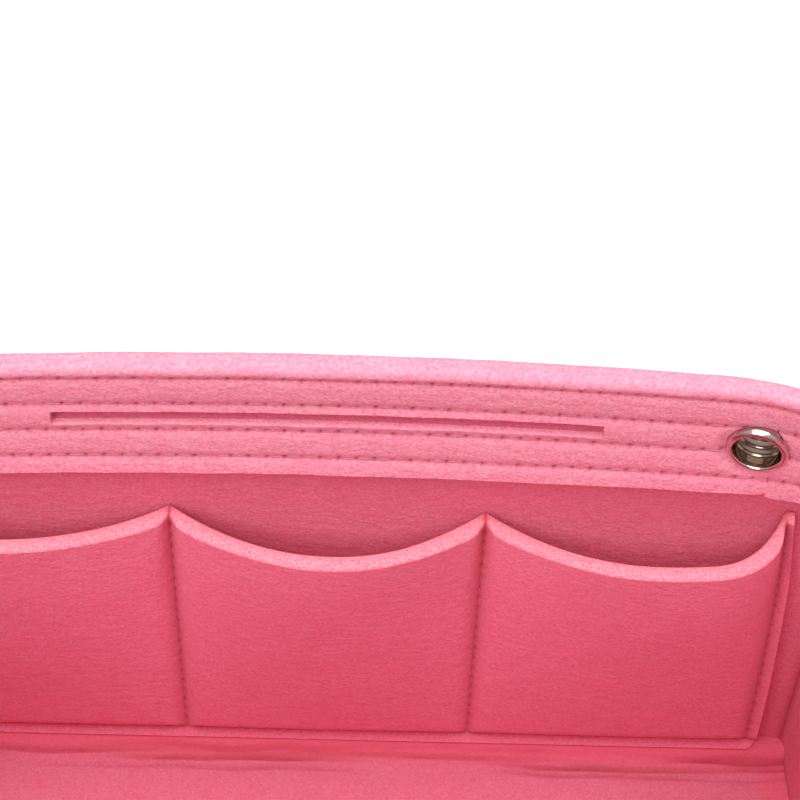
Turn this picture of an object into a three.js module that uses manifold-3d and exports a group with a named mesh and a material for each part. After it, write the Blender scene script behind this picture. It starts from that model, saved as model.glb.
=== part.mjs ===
// A purse organizer insert: a soft open box sewn from thick pink felt, with a folded band round its rim,
// a row of gaping pockets on each long wall, two eyelets, a loose pad on its floor and its sewing thread.
// Millimetres, +Z up, +X along the length, +Y towards the back wall, origin under the middle of the base.
import * as THREE from 'three';
import { mergeVertices } from 'three/addons/utils/BufferGeometryUtils.js';
import Module from 'manifold-3d';

const wasm = await Module();
wasm.setup();

// The box
const INNER_LENGTH = 198; // between the end walls at the base
const INNER_DEPTH = 104; // between the long walls
const HEIGHT = 119; // from the underside of the base to the top of the rim
const BASE_CORNER = 5; // inner radius of the upright corners at the base
const RIM_CORNER = 38; // and at the rim, where the felt is free to open out
const CORNER_GROWTH = 3; // how late the corners open out: a power of the height
const RIM_SPREAD = 10; // how much further out each end wall stands at the rim
const RIM_BOW = 3.5; // how far the rim of a long wall bows out in its middle
const BOW_SPAN = 80; // distance from that middle over which it does
const BOW_HEIGHTS = [0.3, 1.05]; // shares of the height between which the bow grows

// The felt
const WALL_FELT = 3;
const BASE_FELT = 3;
const PAD_FELT = 3;
const BAND_FELT = 2.6;
const POCKET_FELT = 3.6;
const CLEARANCE = 0.3; // between neighbouring layers
const SEAM_ALLOWANCE = 4.5; // width of the seam edges that are turned to the outside
const SEAM_SLOPE = 0.5; // how sharply a seam edge turns out
const SEAM_START = 2.5; // from the bottom seam edge up to the corner seam edges
const SEAM_STOP = 2; // from the corner seam edges up to the band

// The band that is folded over the rim
const BAND_DEPTH = 26.1;
const ROW_COUNT = 4; // rows of stitching, the first of them at the foot of the rounded rim
const ROW_PITCH = 6.2;
const ROW_GROOVE = 0.9; // how deep a row is pulled into the felt
const SLOT_LENGTH = 100;
const SLOT_GAP = 3;
const SLOT_ROW = 1; // the slot and the eyelets lie under this row, counted from zero
const JOIN_GAP = 0.4; // where the band's pieces meet end to end
const JOIN_OFFSET = 3.2; // from an eyelet's axis to the join that it covers

// The eyelets
const EYELET_INSET = 20.7; // along the felt, from the end wall's face to the eyelet's axis
const EYELET_HOLE = 9.2;
const EYELET_METAL = 0.5;
const EYELET_LIP = 0.58; // radius of the rolled lips
const EYELET_BEADS = 3; // rings pressed round the inside of the barrel
const EYELET_BEAD = 0.2; // how far they stand in
const WASHER_RIM = 1.4; // from the washer's hole to its edge
const WASHER_RISE = 0.9;

// The pockets
const POCKET_COUNT = 3; // on each long wall
const POCKET_END = 9; // from the last seam to the end wall's face
const POCKET_LIFT = 6.8; // from the pad up to the bottom seam
const POCKET_MARGIN = 2; // felt beyond the outer seams
const POCKET_TOP = 6.7; // from the ends of the panel up to the band
const POCKET_END_RISE = 3; // how much higher the panel's ends are than its divisions
const POCKET_DIP = 3.8; // how far each mouth sags between its seams
const POCKET_GAP = 0.5; // between a panel and its wall along the seams
const POCKET_BULGE = 9.5; // how far each mouth gapes
const POCKET_SKEW = 0.14; // how far an end pocket gapes beyond its middle, as a share of its width
const GAPE_POWER = 2.2; // how full a mouth's curve is
const POCKET_LEAN = 4; // how far the end seams lean in at their tops
const POCKET_PINCH = 0.42; // share of the felt's thickness that a seam takes away
const PINCH_REACH = 3.5; // how far from a seam that shows

// The pad
const PAD_GAP = 1; // to the end walls and the front wall
const PAD_BACK_GAP = 5; // to the back wall, so that the pad lifts past the pockets

// The thread
const THREAD = 0.7;
const THREAD_SEAT = 0.2; // between a row and the felt under it
const POCKET_THREAD_SEAT = 0.5; // the same in the steeper grooves of the pockets
const THREAD_END = 0.6; // between the two ends of a row that goes all the way round
const CORNER_THREAD_END = 3; // from the ends of a corner's seam edges to its thread

// How finely the bent felt and the round metal are divided
const BEND_STEPS = 4;
const WALL_BEND_STEPS = 5;
const HEIGHT_STEPS = 7; // of a wall, between the ends of its seam edges
const BOW_STATIONS = [20, 50]; // distances from the middle of a long wall at which its felt and band bend
const LONG_WALL_BEND = [0.74, 0.95]; // between which shares of its half length a long wall bends
const END_WALL_BEND = [0.45, 0.9]; // and an end wall
const LONG_BAND_BEND = 0.74; // share of its half length after which a long piece of the band bends
const END_BAND_BEND = 0.37; // share of its length, at each end, in which an end piece of the band bends
const END_BAND_STEPS = 8;
const CORNER_STEPS = 4;
const RIM_STEPS = 4;
const LIP_STEPS = 4;
const ROUND_STEPS = 18;
const HOLE_STEPS = 24;
const MOUTH_COLUMNS = [0, 0.04, 0.1, 0.22, 0.36, 0.5, 0.64, 0.78, 0.9, 0.96]; // shares of a pocket's width
const POCKET_ROWS = [0, 0.05, 0.2, 0.4, 0.6, 0.8, 1]; // shares of its height
const WELD = 1e-4; // corners closer than this are one corner

const FELT = { roughness: 0.95, metalness: 0 };
const METAL = { roughness: 0.18, metalness: 1 };
const FELT_PINK = 0xdf7390;
const BAND_PINK = 0xe67f9b;
const POCKET_PINK = 0xdc6a87;
const PAD_PINK = 0xe2708c;
const THREAD_ROSE = 0xb8506f;
const NICKEL = 0xc9c6c4;

const WALL_NAMES = ['back', 'right_end', 'front', 'left_end'];
const [BACK, RIGHT, FRONT, LEFT] = WALL_NAMES.keys();
const LAP = WALL_NAMES.length; // the walls' numbers go on past the last one for a second lap

const wallFoot = BASE_FELT + CLEARANCE;
const padFoot = BASE_FELT + CLEARANCE;
const padTop = padFoot + PAD_FELT;
const flangeTop = wallFoot + WALL_FELT;
const seamFoot = flangeTop + SEAM_START;
const bandFoot = HEIGHT - BAND_DEPTH;
const seamTop = bandFoot - SEAM_STOP;
const seamEdge = WALL_FELT + SEAM_ALLOWANCE;
const seamLine = WALL_FELT + SEAM_ALLOWANCE / 2;
const rimRadius = BAND_FELT + CLEARANCE / 2;
const rowHeights = Array.from({ length: ROW_COUNT }, (_, row) => HEIGHT - rimRadius - row * ROW_PITCH);
const wallTop = rowHeights[0] - ROW_PITCH / 2;
const slotHeight = rowHeights[SLOT_ROW] - ROW_PITCH / 2;
const wallMiddle = WALL_FELT / 2;
const bandReach = wallMiddle + CLEARANCE + BAND_FELT;
const cutDepth = 6 * bandReach; // passes right through the wall and the band
const eyeletAlong = INNER_LENGTH / 2 - EYELET_INSET;
const eyeletEdge = EYELET_HOLE / 2 + 2 * EYELET_LIP;
const barrelRadius = EYELET_HOLE / 2 + EYELET_METAL;
const washerEdge = barrelRadius + CLEARANCE + WASHER_RIM;
const joinAlong = eyeletAlong + JOIN_OFFSET;
const pocketHalf = INNER_LENGTH / 2 - POCKET_END;
const pocketWidth = (2 * pocketHalf) / POCKET_COUNT;
const pocketSeam = padTop + POCKET_LIFT;
const pocketPeak = bandFoot - POCKET_TOP;

const share = (from, to, steps) =>
  Array.from({ length: steps + 1 }, (_, i) => from + ((to - from) * i) / steps);
const isLong = (wall) => wall % 2 === 0;

// The inside of the walls in plan at one height: a rounded rectangle.
function plan(height) {
  const rise = THREE.MathUtils.clamp(height / HEIGHT, 0, 1) ** CORNER_GROWTH;
  const radius = THREE.MathUtils.lerp(BASE_CORNER, RIM_CORNER, rise);
  const straightLong = INNER_LENGTH / 2 + RIM_SPREAD * rise - radius;
  const straightEnd = INNER_DEPTH / 2 - radius;
  const arc = (radius * Math.PI) / 2;
  return { radius, straightLong, straightEnd, arc, quarter: straightLong + arc + straightEnd };
}

// How much of the depth is left at one place along the length, where the long walls bow in towards their ends.
function depthLeft(x, height) {
  const [start, stop] = BOW_HEIGHTS.map((part) => part * HEIGHT);
  const bow = RIM_BOW * THREE.MathUtils.smoothstep(height, start, stop) * (x / BOW_SPAN) ** 2;
  return 1 - bow / (INNER_DEPTH / 2);
}

// A point by its distance along the walls' inner face from the middle of the back wall (towards +X first),
// its height, and its distance out from that face.
function wallPoint(along, height, out) {
  const { radius, straightLong, straightEnd, arc, quarter } = plan(height);
  const lap = THREE.MathUtils.euclideanModulo(along, 4 * quarter);
  const right = lap <= 2 * quarter;
  const fromBack = right ? lap : 4 * quarter - lap;
  const back = fromBack <= quarter;
  const run = back ? fromBack : 2 * quarter - fromBack;
  const turn = THREE.MathUtils.clamp((run - straightLong) / radius, 0, Math.PI / 2);
  const x = Math.min(run, straightLong) + (radius + out) * Math.sin(turn);
  const y = straightEnd - Math.max(run - straightLong - arc, 0) + (radius + out) * Math.cos(turn);
  const depth = y * depthLeft(x, height);
  return new THREE.Vector3(right ? x : -x, back ? depth : -depth, height);
}

// Distance along the walls, given from the middle of one of them.
const fromMiddle = (wall, along, height) => wall * plan(height).quarter + along;

// Distance from the middle of a wall to its corners.
function wallHalf(wall, height) {
  const { straightLong, straightEnd, arc } = plan(height);
  return (isLong(wall) ? straightLong : straightEnd) + arc / 2;
}

function signedVolume(geometry) {
  const index = geometry.getIndex();
  const position = geometry.getAttribute('position');
  const corner = (i) => new THREE.Vector3().fromBufferAttribute(position, index.getX(i));
  let volume = 0;
  for (let i = 0; i < index.count; i += 3) {
    volume += corner(i).dot(corner(i + 1).cross(corner(i + 2))) / 6;
  }
  return volume;
}

function facingOut(geometry) {
  if (signedVolume(geometry) < 0) {
    geometry.setIndex(Array.from(geometry.getIndex().array).reverse());
  }
  geometry.computeVertexNormals();
  return geometry;
}

// A closed body through rings of points. Each ring runs up one face of a sheet and back down its other
// face, so the two ends are closed by quads across the sheet.
function loft(rings) {
  const size = rings[0].length;
  const index = [];
  const quad = (a, b, c, d) => index.push(a, b, c, a, c, d);
  const last = (rings.length - 1) * size;
  for (let first = 0; first < last; first += size) {
    for (let i = 0; i < size; i += 1) {
      const next = (i + 1) % size;
      quad(first + i, first + next, first + next + size, first + i + size);
    }
  }
  for (let i = 0; i + 1 < size / 2; i += 1) {
    const across = size - 1 - i;
    quad(i, across, across - 1, i + 1);
    quad(last + i, last + i + 1, last + across - 1, last + across);
  }
  const geometry = new THREE.BufferGeometry();
  geometry.setFromPoints(rings.flat());
  geometry.setIndex(index);
  return facingOut(geometry);
}

// A ring from pairs of points, one on each face of a sheet.
function ringOf(pairs) {
  return [...pairs.map(([face]) => face), ...pairs.toReversed().map(([, back]) => back)];
}

// A strip with one section of (out, height) pairs, carried along the walls past the given stations.
// A station gives the distance along the walls at a height.
function strip(pairs, stations) {
  const place = (station) => ({ x, y }) => wallPoint(station(y), y, x);
  return loft(stations.map((station) => ringOf(pairs.map((pair) => pair.map(place(station))))));
}

function toSolid(geometry) {
  const bare = geometry.clone();
  bare.deleteAttribute('normal');
  bare.deleteAttribute('uv');
  const merged = mergeVertices(bare, WELD);
  const vertProperties = new Float32Array(merged.getAttribute('position').array);
  const triVerts = new Uint32Array(merged.getIndex().array);
  return new wasm.Manifold(new wasm.Mesh({ numProp: 3, vertProperties, triVerts }));
}

function toGeometry(solid) {
  const { vertProperties, triVerts } = solid.getMesh();
  const geometry = new THREE.BufferGeometry();
  geometry.setAttribute('position', new THREE.Float32BufferAttribute(vertProperties, 3));
  geometry.setIndex(new THREE.Uint32BufferAttribute(triVerts, 1));
  geometry.computeVertexNormals();
  return geometry;
}

const cut = (geometry, tools) =>
  toGeometry(tools.reduce((solid, tool) => solid.subtract(toSolid(tool)), toSolid(geometry)));
const join = (bodies) => toGeometry(bodies.map(toSolid).reduce((all, body) => all.add(body)));

// A flat felt plate with rounded corners.
function plate(halfLength, front, back, radius, foot, felt) {
  const shape = new THREE.Shape();
  const right = halfLength - radius;
  shape.absarc(right, back - radius, radius, 0, Math.PI / 2);
  shape.absarc(-right, back - radius, radius, Math.PI / 2, Math.PI);
  shape.absarc(-right, front + radius, radius, Math.PI, 1.5 * Math.PI);
  shape.absarc(right, front + radius, radius, 1.5 * Math.PI, 2 * Math.PI);
  const extrusion = { depth: felt, bevelEnabled: false, curveSegments: CORNER_STEPS };
  return new THREE.ExtrudeGeometry(shape, extrusion).translate(0, 0, foot);
}

function baseGeometry() {
  const halfLength = INNER_LENGTH / 2 + seamEdge;
  const halfDepth = INNER_DEPTH / 2 + seamEdge;
  return plate(halfLength, -halfDepth, halfDepth, BASE_CORNER + seamEdge, 0, BASE_FELT);
}

function padGeometry() {
  const halfLength = INNER_LENGTH / 2 - PAD_GAP;
  const front = PAD_GAP - INNER_DEPTH / 2;
  const back = INNER_DEPTH / 2 - PAD_BACK_GAP;
  return plate(halfLength, front, back, BASE_CORNER, padFoot, PAD_FELT);
}

// The heights at which a wall's outline or its bending changes.
const wallHeights = [
  wallFoot,
  flangeTop,
  flangeTop + SEAM_SLOPE,
  seamFoot,
  seamFoot + SEAM_SLOPE,
  ...share(seamFoot, seamTop, HEIGHT_STEPS).slice(1, -1),
  seamTop - SEAM_SLOPE,
  seamTop,
  ...share(seamTop, wallTop, BEND_STEPS).slice(1),
];

// Where a wall bends, from one of its ends to the other. Its last bit at each end is a seam edge.
function wallStations(wall) {
  const bends = share(...(isLong(wall) ? LONG_WALL_BEND : END_WALL_BEND), WALL_BEND_STEPS);
  const bows = isLong(wall) ? BOW_STATIONS : [];
  const reaches = [
    ...bows.map((along) => ({ edge: false, reach: () => along })),
    ...bends.map((part) => ({ edge: false, reach: (half) => part * half })),
    { edge: false, reach: (half) => half - WALL_FELT - SEAM_SLOPE },
    { edge: true, reach: (half) => half - WALL_FELT },
    { edge: true, reach: (half) => half },
  ];
  const station = (side) => ({ edge, reach }) => ({
    edge,
    along: (height) =>
      fromMiddle(wall, side * reach(wallHalf(wall, height) - CLEARANCE / 2), height),
  });
  return [...reaches.toReversed().map(station(-1)), ...reaches.map(station(1))];
}

// A wall: a felt sheet whose foot and two ends are turned out as seam edges.
function wallGeometry(wall) {
  const outerFace = (edge, height) => {
    const turned = height <= flangeTop || (edge && height > seamFoot && height < seamTop);
    return turned ? seamEdge : WALL_FELT;
  };
  const pairAt = ({ edge, along }) => (height) => [
    wallPoint(along(height), height, 0),
    wallPoint(along(height), height, outerFace(edge, height)),
  ];
  return loft(wallStations(wall).map((station) => ringOf(wallHeights.map(pairAt(station)))));
}

// The face of one leg of the band, from its foot up to the first row, as distances from the wall's middle
// and heights. It is pulled in at each row and full between them.
function bandLeg() {
  const leg = [new THREE.Vector2(bandReach - ROW_GROOVE / 2, bandFoot)];
  for (const row of rowHeights.slice(1).toReversed()) {
    leg.push(new THREE.Vector2(bandReach, row - ROW_PITCH / 2));
    leg.push(new THREE.Vector2(bandReach - ROW_GROOVE, row));
  }
  leg.push(new THREE.Vector2(bandReach - ROW_GROOVE / 2, wallTop));
  return leg;
}

// The band's section, folded over the rim: each point of its face with the one behind it, which lies along
// the wall's two sides and over its top edge.
function bandSection() {
  const leg = bandLeg();
  const slit = wallMiddle + CLEARANCE;
  const slitTop = wallTop + CLEARANCE;
  const turns = share(Math.PI, 0, RIM_STEPS);
  const fold = turns.map((turn, i) => [
    new THREE.Vector2(rimRadius * Math.cos(turn), rowHeights[0] + rimRadius * Math.sin(turn)),
    new THREE.Vector2(THREE.MathUtils.lerp(-slit, slit, (i + 1) / (turns.length + 1)), slitTop),
  ]);
  const side = (sign) => leg.map(({ x, y }) => [
    new THREE.Vector2(sign * x, y),
    new THREE.Vector2(sign * slit, Math.min(y, slitTop)),
  ]);
  const pairs = [...side(-1), ...fold, ...side(1).toReversed()];
  return pairs.map((pair) => pair.map(({ x, y }) => new THREE.Vector2(wallMiddle + x, y)));
}

// Where the band bends: its pieces on the long walls, and those that go round the ends.
function longBandStations(wall) {
  const end = joinAlong - JOIN_GAP / 2;
  const reaches = [...BOW_STATIONS, ...share(LONG_BAND_BEND * end, end, BEND_STEPS)];
  return [...reaches.toReversed().map((reach) => -reach), ...reaches].map(
    (along) => (height) => fromMiddle(wall, along, height),
  );
}

function endBandStations(wall) {
  const end = joinAlong + JOIN_GAP / 2;
  const bends = share(0, END_BAND_BEND, END_BAND_STEPS);
  const parts = [...bends, ...bends.toReversed().map((part) => 1 - part)];
  return parts.map((part) => (height) => {
    const from = fromMiddle(wall - 1, end, height);
    const to = fromMiddle(wall + 1, -end, height);
    return THREE.MathUtils.lerp(from, to, part);
  });
}

const bandStations = (wall) => (isLong(wall) ? longBandStations(wall) : endBandStations(wall));

// A local frame for one eyelet: its origin in the middle of the wall, its Y axis straight out of the felt.
function eyeletPlacement(side) {
  const step = 0.5;
  const at = (along, height) => wallPoint(side * eyeletAlong + along, slotHeight + height, wallMiddle);
  const across = at(step, 0).sub(at(-step, 0));
  const up = at(0, step).sub(at(0, -step));
  const out = up.cross(across).normalize();
  const turn = new THREE.Quaternion().setFromUnitVectors(new THREE.Vector3(0, 1, 0), out);
  return { position: at(0, 0), turn };
}

function eyeletHole(side) {
  const { position, turn } = eyeletPlacement(side);
  const radius = barrelRadius + CLEARANCE;
  const hole = new THREE.CylinderGeometry(radius, radius, cutDepth, HOLE_STEPS);
  return hole.applyQuaternion(turn).translate(position.x, position.y, position.z);
}

function slotCut() {
  const slot = new THREE.BoxGeometry(SLOT_LENGTH, cutDepth, SLOT_GAP);
  return slot.translate(0, INNER_DEPTH / 2 + wallMiddle, slotHeight);
}

// How far an eyelet's flat flange stands off the hollow side of the bent felt.
const flangeSag = eyeletEdge ** 2 / (2 * plan(slotHeight).radius) + CLEARANCE;
const flangeSeat = -(bandReach + flangeSag);
const washerSeat = bandReach + CLEARANCE;
const lipSeat = washerSeat + WASHER_RISE + CLEARANCE;

// A closed body turned from one closed profile.
function turned(profile) {
  return facingOut(new THREE.LatheGeometry([...profile, profile[0].clone()], ROUND_STEPS));
}

// A barrel with a rolled lip at each end and rings round its inside.
function eyeletGeometry() {
  const hole = EYELET_HOLE / 2;
  const lip = (seat, way) => share(0, Math.PI, LIP_STEPS).map((turn) => new THREE.Vector2(
    hole + EYELET_LIP * (1 - Math.cos(turn)),
    seat + way * EYELET_LIP * Math.sin(turn),
  ));
  const pitch = (lipSeat - flangeSeat) / (EYELET_BEADS + 1);
  const beads = share(1, EYELET_BEADS, EYELET_BEADS - 1).flatMap((bead) => {
    const middle = lipSeat - bead * pitch;
    return [
      new THREE.Vector2(hole, middle + pitch / 3),
      new THREE.Vector2(hole - EYELET_BEAD, middle),
      new THREE.Vector2(hole, middle - pitch / 3),
    ];
  });
  const profile = [
    ...lip(flangeSeat, -1),
    new THREE.Vector2(barrelRadius, flangeSeat),
    new THREE.Vector2(barrelRadius, lipSeat),
    ...lip(lipSeat, 1).toReversed(),
    ...beads,
  ];
  return turned(profile);
}

function washerGeometry() {
  const hole = barrelRadius + CLEARANCE;
  const profile = [
    new THREE.Vector2(hole, washerSeat),
    new THREE.Vector2(washerEdge, washerSeat),
    new THREE.Vector2(washerEdge - WASHER_RIM / 8, washerSeat + WASHER_RISE / 2),
    new THREE.Vector2(washerEdge - WASHER_RIM / 3, washerSeat + WASHER_RISE),
    new THREE.Vector2(hole, washerSeat + WASHER_RISE),
  ];
  return turned(profile);
}

// How a pocket panel lies at one place along it: how open the pocket is there, how far the next upright
// seam is, and how high the top edge is.
function pocketColumn(along) {
  const inside = Math.abs(along) < pocketHalf;
  const run = (along + pocketHalf) / pocketWidth;
  const pocket = THREE.MathUtils.clamp(Math.floor(run), 0, POCKET_COUNT - 1);
  const part = run - pocket;
  const widest = 0.5 + POCKET_SKEW * Math.sign(pocket - (POCKET_COUNT - 1) / 2);
  const aside = Math.abs(part - widest) / (part < widest ? widest : 1 - widest);
  const open = inside ? 1 - aside ** GAPE_POWER : 0;
  const toSeam = inside ? Math.min(part, 1 - part) * pocketWidth : Math.abs(along) - pocketHalf;
  const end = THREE.MathUtils.smoothstep(Math.abs(along), pocketHalf - pocketWidth, pocketHalf);
  const top = pocketPeak - POCKET_END_RISE * (1 - end) - POCKET_DIP * open;
  return { open, toSeam, top };
}

// Where a place on a pocket panel lies along its wall. The end seams lean in more the higher they go.
function leanedAlong(along, height) {
  const lift = Math.max(height - pocketSeam, 0) / (pocketPeak - pocketSeam);
  return along - POCKET_LEAN * lift ** 2 * (along / pocketHalf) ** 3;
}

function pinchedFelt(toSeam) {
  return POCKET_FELT * (1 - POCKET_PINCH * Math.exp(-((toSeam / PINCH_REACH) ** 2)));
}

function pocketGeometry(wall) {
  const seams = share(-pocketHalf, pocketHalf, POCKET_COUNT);
  const alongs = [
    -pocketHalf - POCKET_MARGIN,
    ...seams.slice(0, -1).flatMap((seam) => MOUTH_COLUMNS.map((part) => seam + part * pocketWidth)),
    pocketHalf,
    pocketHalf + POCKET_MARGIN,
  ];
  const rings = alongs.map((along) => {
    const { open, toSeam, top } = pocketColumn(along);
    const pairAt = (height, lift) => {
      const place = fromMiddle(wall, leanedAlong(along, height), height);
      const gap = POCKET_GAP + POCKET_BULGE * open * lift;
      const felt = pinchedFelt(Math.min(toSeam, Math.abs(height - pocketSeam)));
      return [wallPoint(place, height, -gap), wallPoint(place, height, -gap - felt)];
    };
    const rows = POCKET_ROWS.map((lift) => pairAt(THREE.MathUtils.lerp(pocketSeam, top, lift), lift));
    return ringOf([pairAt(pocketSeam - POCKET_MARGIN, 0), ...rows]);
  });
  return loft(rings);
}

// A thread's section, round a place given by its distance out and its height.
const threadHalf = (THREAD / 2) * Math.SQRT1_2;
function threadSection(out, height) {
  const corner = (side) => (up) => new THREE.Vector2(out + side * threadHalf, height + up * threadHalf);
  return [1, -1].map((side) => [1, -1].map(corner(side)));
}

// A thread that runs up a wall.
function uprightThread(alongAt, out, heights) {
  const corner = (height, side) => (face) =>
    wallPoint(alongAt(height) + side * threadHalf, height, out + face * threadHalf);
  const pairsAt = (height) => [1, -1].map((side) => [1, -1].map(corner(height, side)));
  return loft(heights.map((height) => ringOf(pairsAt(height))));
}

// The stations that lie between two places, with those two places as the ends.
function between(stations, height, from, to) {
  const inside = (station) => station(height) > from(height) && station(height) < to(height);
  return [from, ...stations.filter(inside), to];
}

// The stations for a thread that starts in the middle of the front wall and goes all the way round.
function onceRound(stationsOf, height) {
  const stations = share(FRONT, FRONT + LAP, LAP).flatMap(stationsOf);
  const from = (z) => fromMiddle(FRONT, THREAD_END / 2, z);
  const to = (z) => fromMiddle(FRONT + LAP, -THREAD_END / 2, z);
  return between(stations, height, from, to);
}

// One row of the band's stitching, split at the eyelets where it would run into them.
function rowThreads(row, side) {
  const height = rowHeights[row];
  const face = row === 0 ? rimRadius : bandReach - ROW_GROOVE;
  const section = threadSection(wallMiddle + side * (face + THREAD_SEAT + THREAD / 2), height);
  const stop = Math.max(eyeletEdge, washerEdge) + THREAD;
  if (Math.abs(height - slotHeight) > stop) {
    return [{ part: '', geometry: strip(section, onceRound(bandStations, height)) }];
  }
  const near = eyeletAlong - stop;
  const far = eyeletAlong + stop;
  const rest = [RIGHT, FRONT, LEFT].flatMap(bandStations);
  const backStations = between(bandStations(BACK), height, () => -near, () => near);
  const restStations = between(rest, height, () => far, (z) => fromMiddle(LAP, -far, z));
  return [
    { part: '_back', geometry: strip(section, backStations) },
    { part: '_round', geometry: strip(section, restStations) },
  ];
}

// The stitching of a row of pockets: the bottom seam with the upright seams standing on it.
function pocketThread(wall, out) {
  const seams = share(-pocketHalf, pocketHalf, POCKET_COUNT);
  const bottom = share(-pocketHalf, pocketHalf, 2 * POCKET_COUNT);
  const stations = bottom.map((along) => (z) => fromMiddle(wall, along, z));
  const line = strip(threadSection(out, pocketSeam), stations);
  const uprights = seams.map((along) => {
    const top = pocketColumn(along).top - THREAD;
    const heights = POCKET_ROWS.map((lift) => THREE.MathUtils.lerp(pocketSeam, top, lift));
    return uprightThread((z) => fromMiddle(wall, leanedAlong(along, z), z), out, heights);
  });
  return join([line, ...uprights]);
}

// The thread on one face of a corner's two seam edges. The side is the end of the wall that it is on.
function cornerThread(wall, side) {
  const beside = WALL_FELT + SEAM_SLOPE + THREAD_SEAT + THREAD / 2;
  const along = (z) => fromMiddle(wall, side * (wallHalf(wall, z) - CLEARANCE / 2 - beside), z);
  const heights = share(seamFoot + CORNER_THREAD_END, seamTop - CORNER_THREAD_END, BEND_STEPS);
  return uprightThread(along, seamLine, heights);
}

// The thread through the walls' turned-out feet and the base.
function baseThread() {
  const height = flangeTop + SEAM_SLOPE / 2 + THREAD_SEAT + THREAD / 2;
  const stationsOf = (wall) => wallStations(wall).map(({ along }) => along);
  return strip(threadSection(seamLine, height), onceRound(stationsOf, height));
}

const insert = new THREE.Group();

function add(name, geometry, color, surface = FELT) {
  const mesh = new THREE.Mesh(geometry, new THREE.MeshStandardMaterial({ color, ...surface }));
  mesh.name = name;
  insert.add(mesh);
  return mesh;
}

const openings = [slotCut(), eyeletHole(1), eyeletHole(-1)];

WALL_NAMES.forEach((name, wall) => {
  const sheet = wallGeometry(wall);
  add(`${name}_wall`, wall === BACK ? cut(sheet, openings) : sheet, FELT_PINK);
});

WALL_NAMES.forEach((name, wall) => {
  const band = strip(bandSection(), bandStations(wall));
  add(`${name}_band`, wall === FRONT ? band : cut(band, openings), BAND_PINK);
});

add('base_panel', baseGeometry(), FELT_PINK);
add('base_pad', padGeometry(), PAD_PINK);

for (const wall of [BACK, FRONT]) {
  const name = WALL_NAMES[wall];
  const front = POCKET_GAP + pinchedFelt(0) + POCKET_THREAD_SEAT + THREAD / 2;
  const behind = WALL_FELT + THREAD_SEAT + THREAD / 2;
  add(`${name}_pocket_panel`, pocketGeometry(wall), POCKET_PINK);
  add(`${name}_pocket_thread_inside`, pocketThread(wall, -front), THREAD_ROSE);
  add(`${name}_pocket_thread_outside`, pocketThread(wall, behind), THREAD_ROSE);
}

for (const [name, side] of [['right', 1], ['left', -1]]) {
  const { position, turn } = eyeletPlacement(side);
  const eyelet = add(`${name}_eyelet`, eyeletGeometry(), NICKEL, METAL);
  const washer = add(`${name}_eyelet_washer`, washerGeometry(), NICKEL, METAL);
  for (const mesh of [eyelet, washer]) {
    mesh.position.copy(position);
    mesh.quaternion.copy(turn);
  }
}

rowHeights.forEach((_, row) => {
  for (const [face, side] of [['inside', -1], ['outside', 1]]) {
    for (const { part, geometry } of rowThreads(row, side)) {
      add(`hem_thread_${row + 1}_${face}${part}`, geometry, THREAD_ROSE);
    }
  }
});

const corners = [
  ['back_right', BACK, 1],
  ['back_left', BACK, -1],
  ['front_right', FRONT, -1],
  ['front_left', FRONT, 1],
];
for (const [name, wall, side] of corners) {
  add(`${name}_corner_thread`, cornerThread(wall, side), THREAD_ROSE);
}

add('base_thread', baseThread(), THREAD_ROSE);

export default insert;
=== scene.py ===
"""Dresses a purse organizer insert: thick felt, its stitching and its eyelets, over the packed frame.

Lengths are metres in the frame of the packed model: +Z up, +X along the length, +Y towards the back wall.
"""

import math

import bmesh
import bpy
from bpy.props import FloatProperty, FloatVectorProperty, IntProperty, PointerProperty
from mathutils import Matrix, Vector, noise


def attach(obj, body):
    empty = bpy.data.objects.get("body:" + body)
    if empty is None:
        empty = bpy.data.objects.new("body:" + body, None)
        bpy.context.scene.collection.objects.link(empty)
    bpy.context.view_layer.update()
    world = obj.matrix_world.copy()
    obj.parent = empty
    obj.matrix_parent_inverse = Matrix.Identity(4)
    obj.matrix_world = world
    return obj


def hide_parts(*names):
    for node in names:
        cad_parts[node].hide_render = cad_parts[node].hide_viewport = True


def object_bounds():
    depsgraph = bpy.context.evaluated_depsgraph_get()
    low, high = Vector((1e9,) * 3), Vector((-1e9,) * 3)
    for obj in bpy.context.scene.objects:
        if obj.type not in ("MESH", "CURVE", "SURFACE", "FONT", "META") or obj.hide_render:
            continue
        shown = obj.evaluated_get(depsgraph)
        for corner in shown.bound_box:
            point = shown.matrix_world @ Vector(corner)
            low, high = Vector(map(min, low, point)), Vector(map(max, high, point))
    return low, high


bl_info = {
    "name": "Purse Organizer Insert",
    "version": (1, 0, 0),
    "blender": (4, 5, 0),
    "location": "View3D > Sidebar > Insert",
    "description": "Builds the felt, stitching and eyelets of a purse organizer insert, and its studio",
    "category": "Object",
}

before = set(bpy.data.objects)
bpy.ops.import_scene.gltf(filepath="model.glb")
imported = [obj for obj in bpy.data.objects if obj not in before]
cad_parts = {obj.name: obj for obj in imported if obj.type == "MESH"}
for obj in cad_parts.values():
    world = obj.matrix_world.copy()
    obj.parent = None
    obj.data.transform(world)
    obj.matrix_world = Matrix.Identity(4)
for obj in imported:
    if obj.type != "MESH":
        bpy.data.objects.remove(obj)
CAD_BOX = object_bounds()
WALL_NAMES = ("back", "right_end", "front", "left_end")
BACK, RIGHT, FRONT, LEFT = range(len(WALL_NAMES))
FACES = {"inside": -1, "outside": 1}
SHARP = 50  # degrees between faces from which an edge is sharp
AT_EDGE = 1e-6  # how near to an edge of a sheet's grid a place counts as on it
STEP = 0.001  # how far a second point is taken to find a direction
# The walls: how long the waves of their sway are, how they crease and turn out at a corner, how pale their edges are.
SWAY_WAVE = 0.035
CORNER_CREASE, CREASE_REACH, TURN_REACH = 0.0007, 0.0009, 0.0012
SEAM_PALENESS = 0.4
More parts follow.
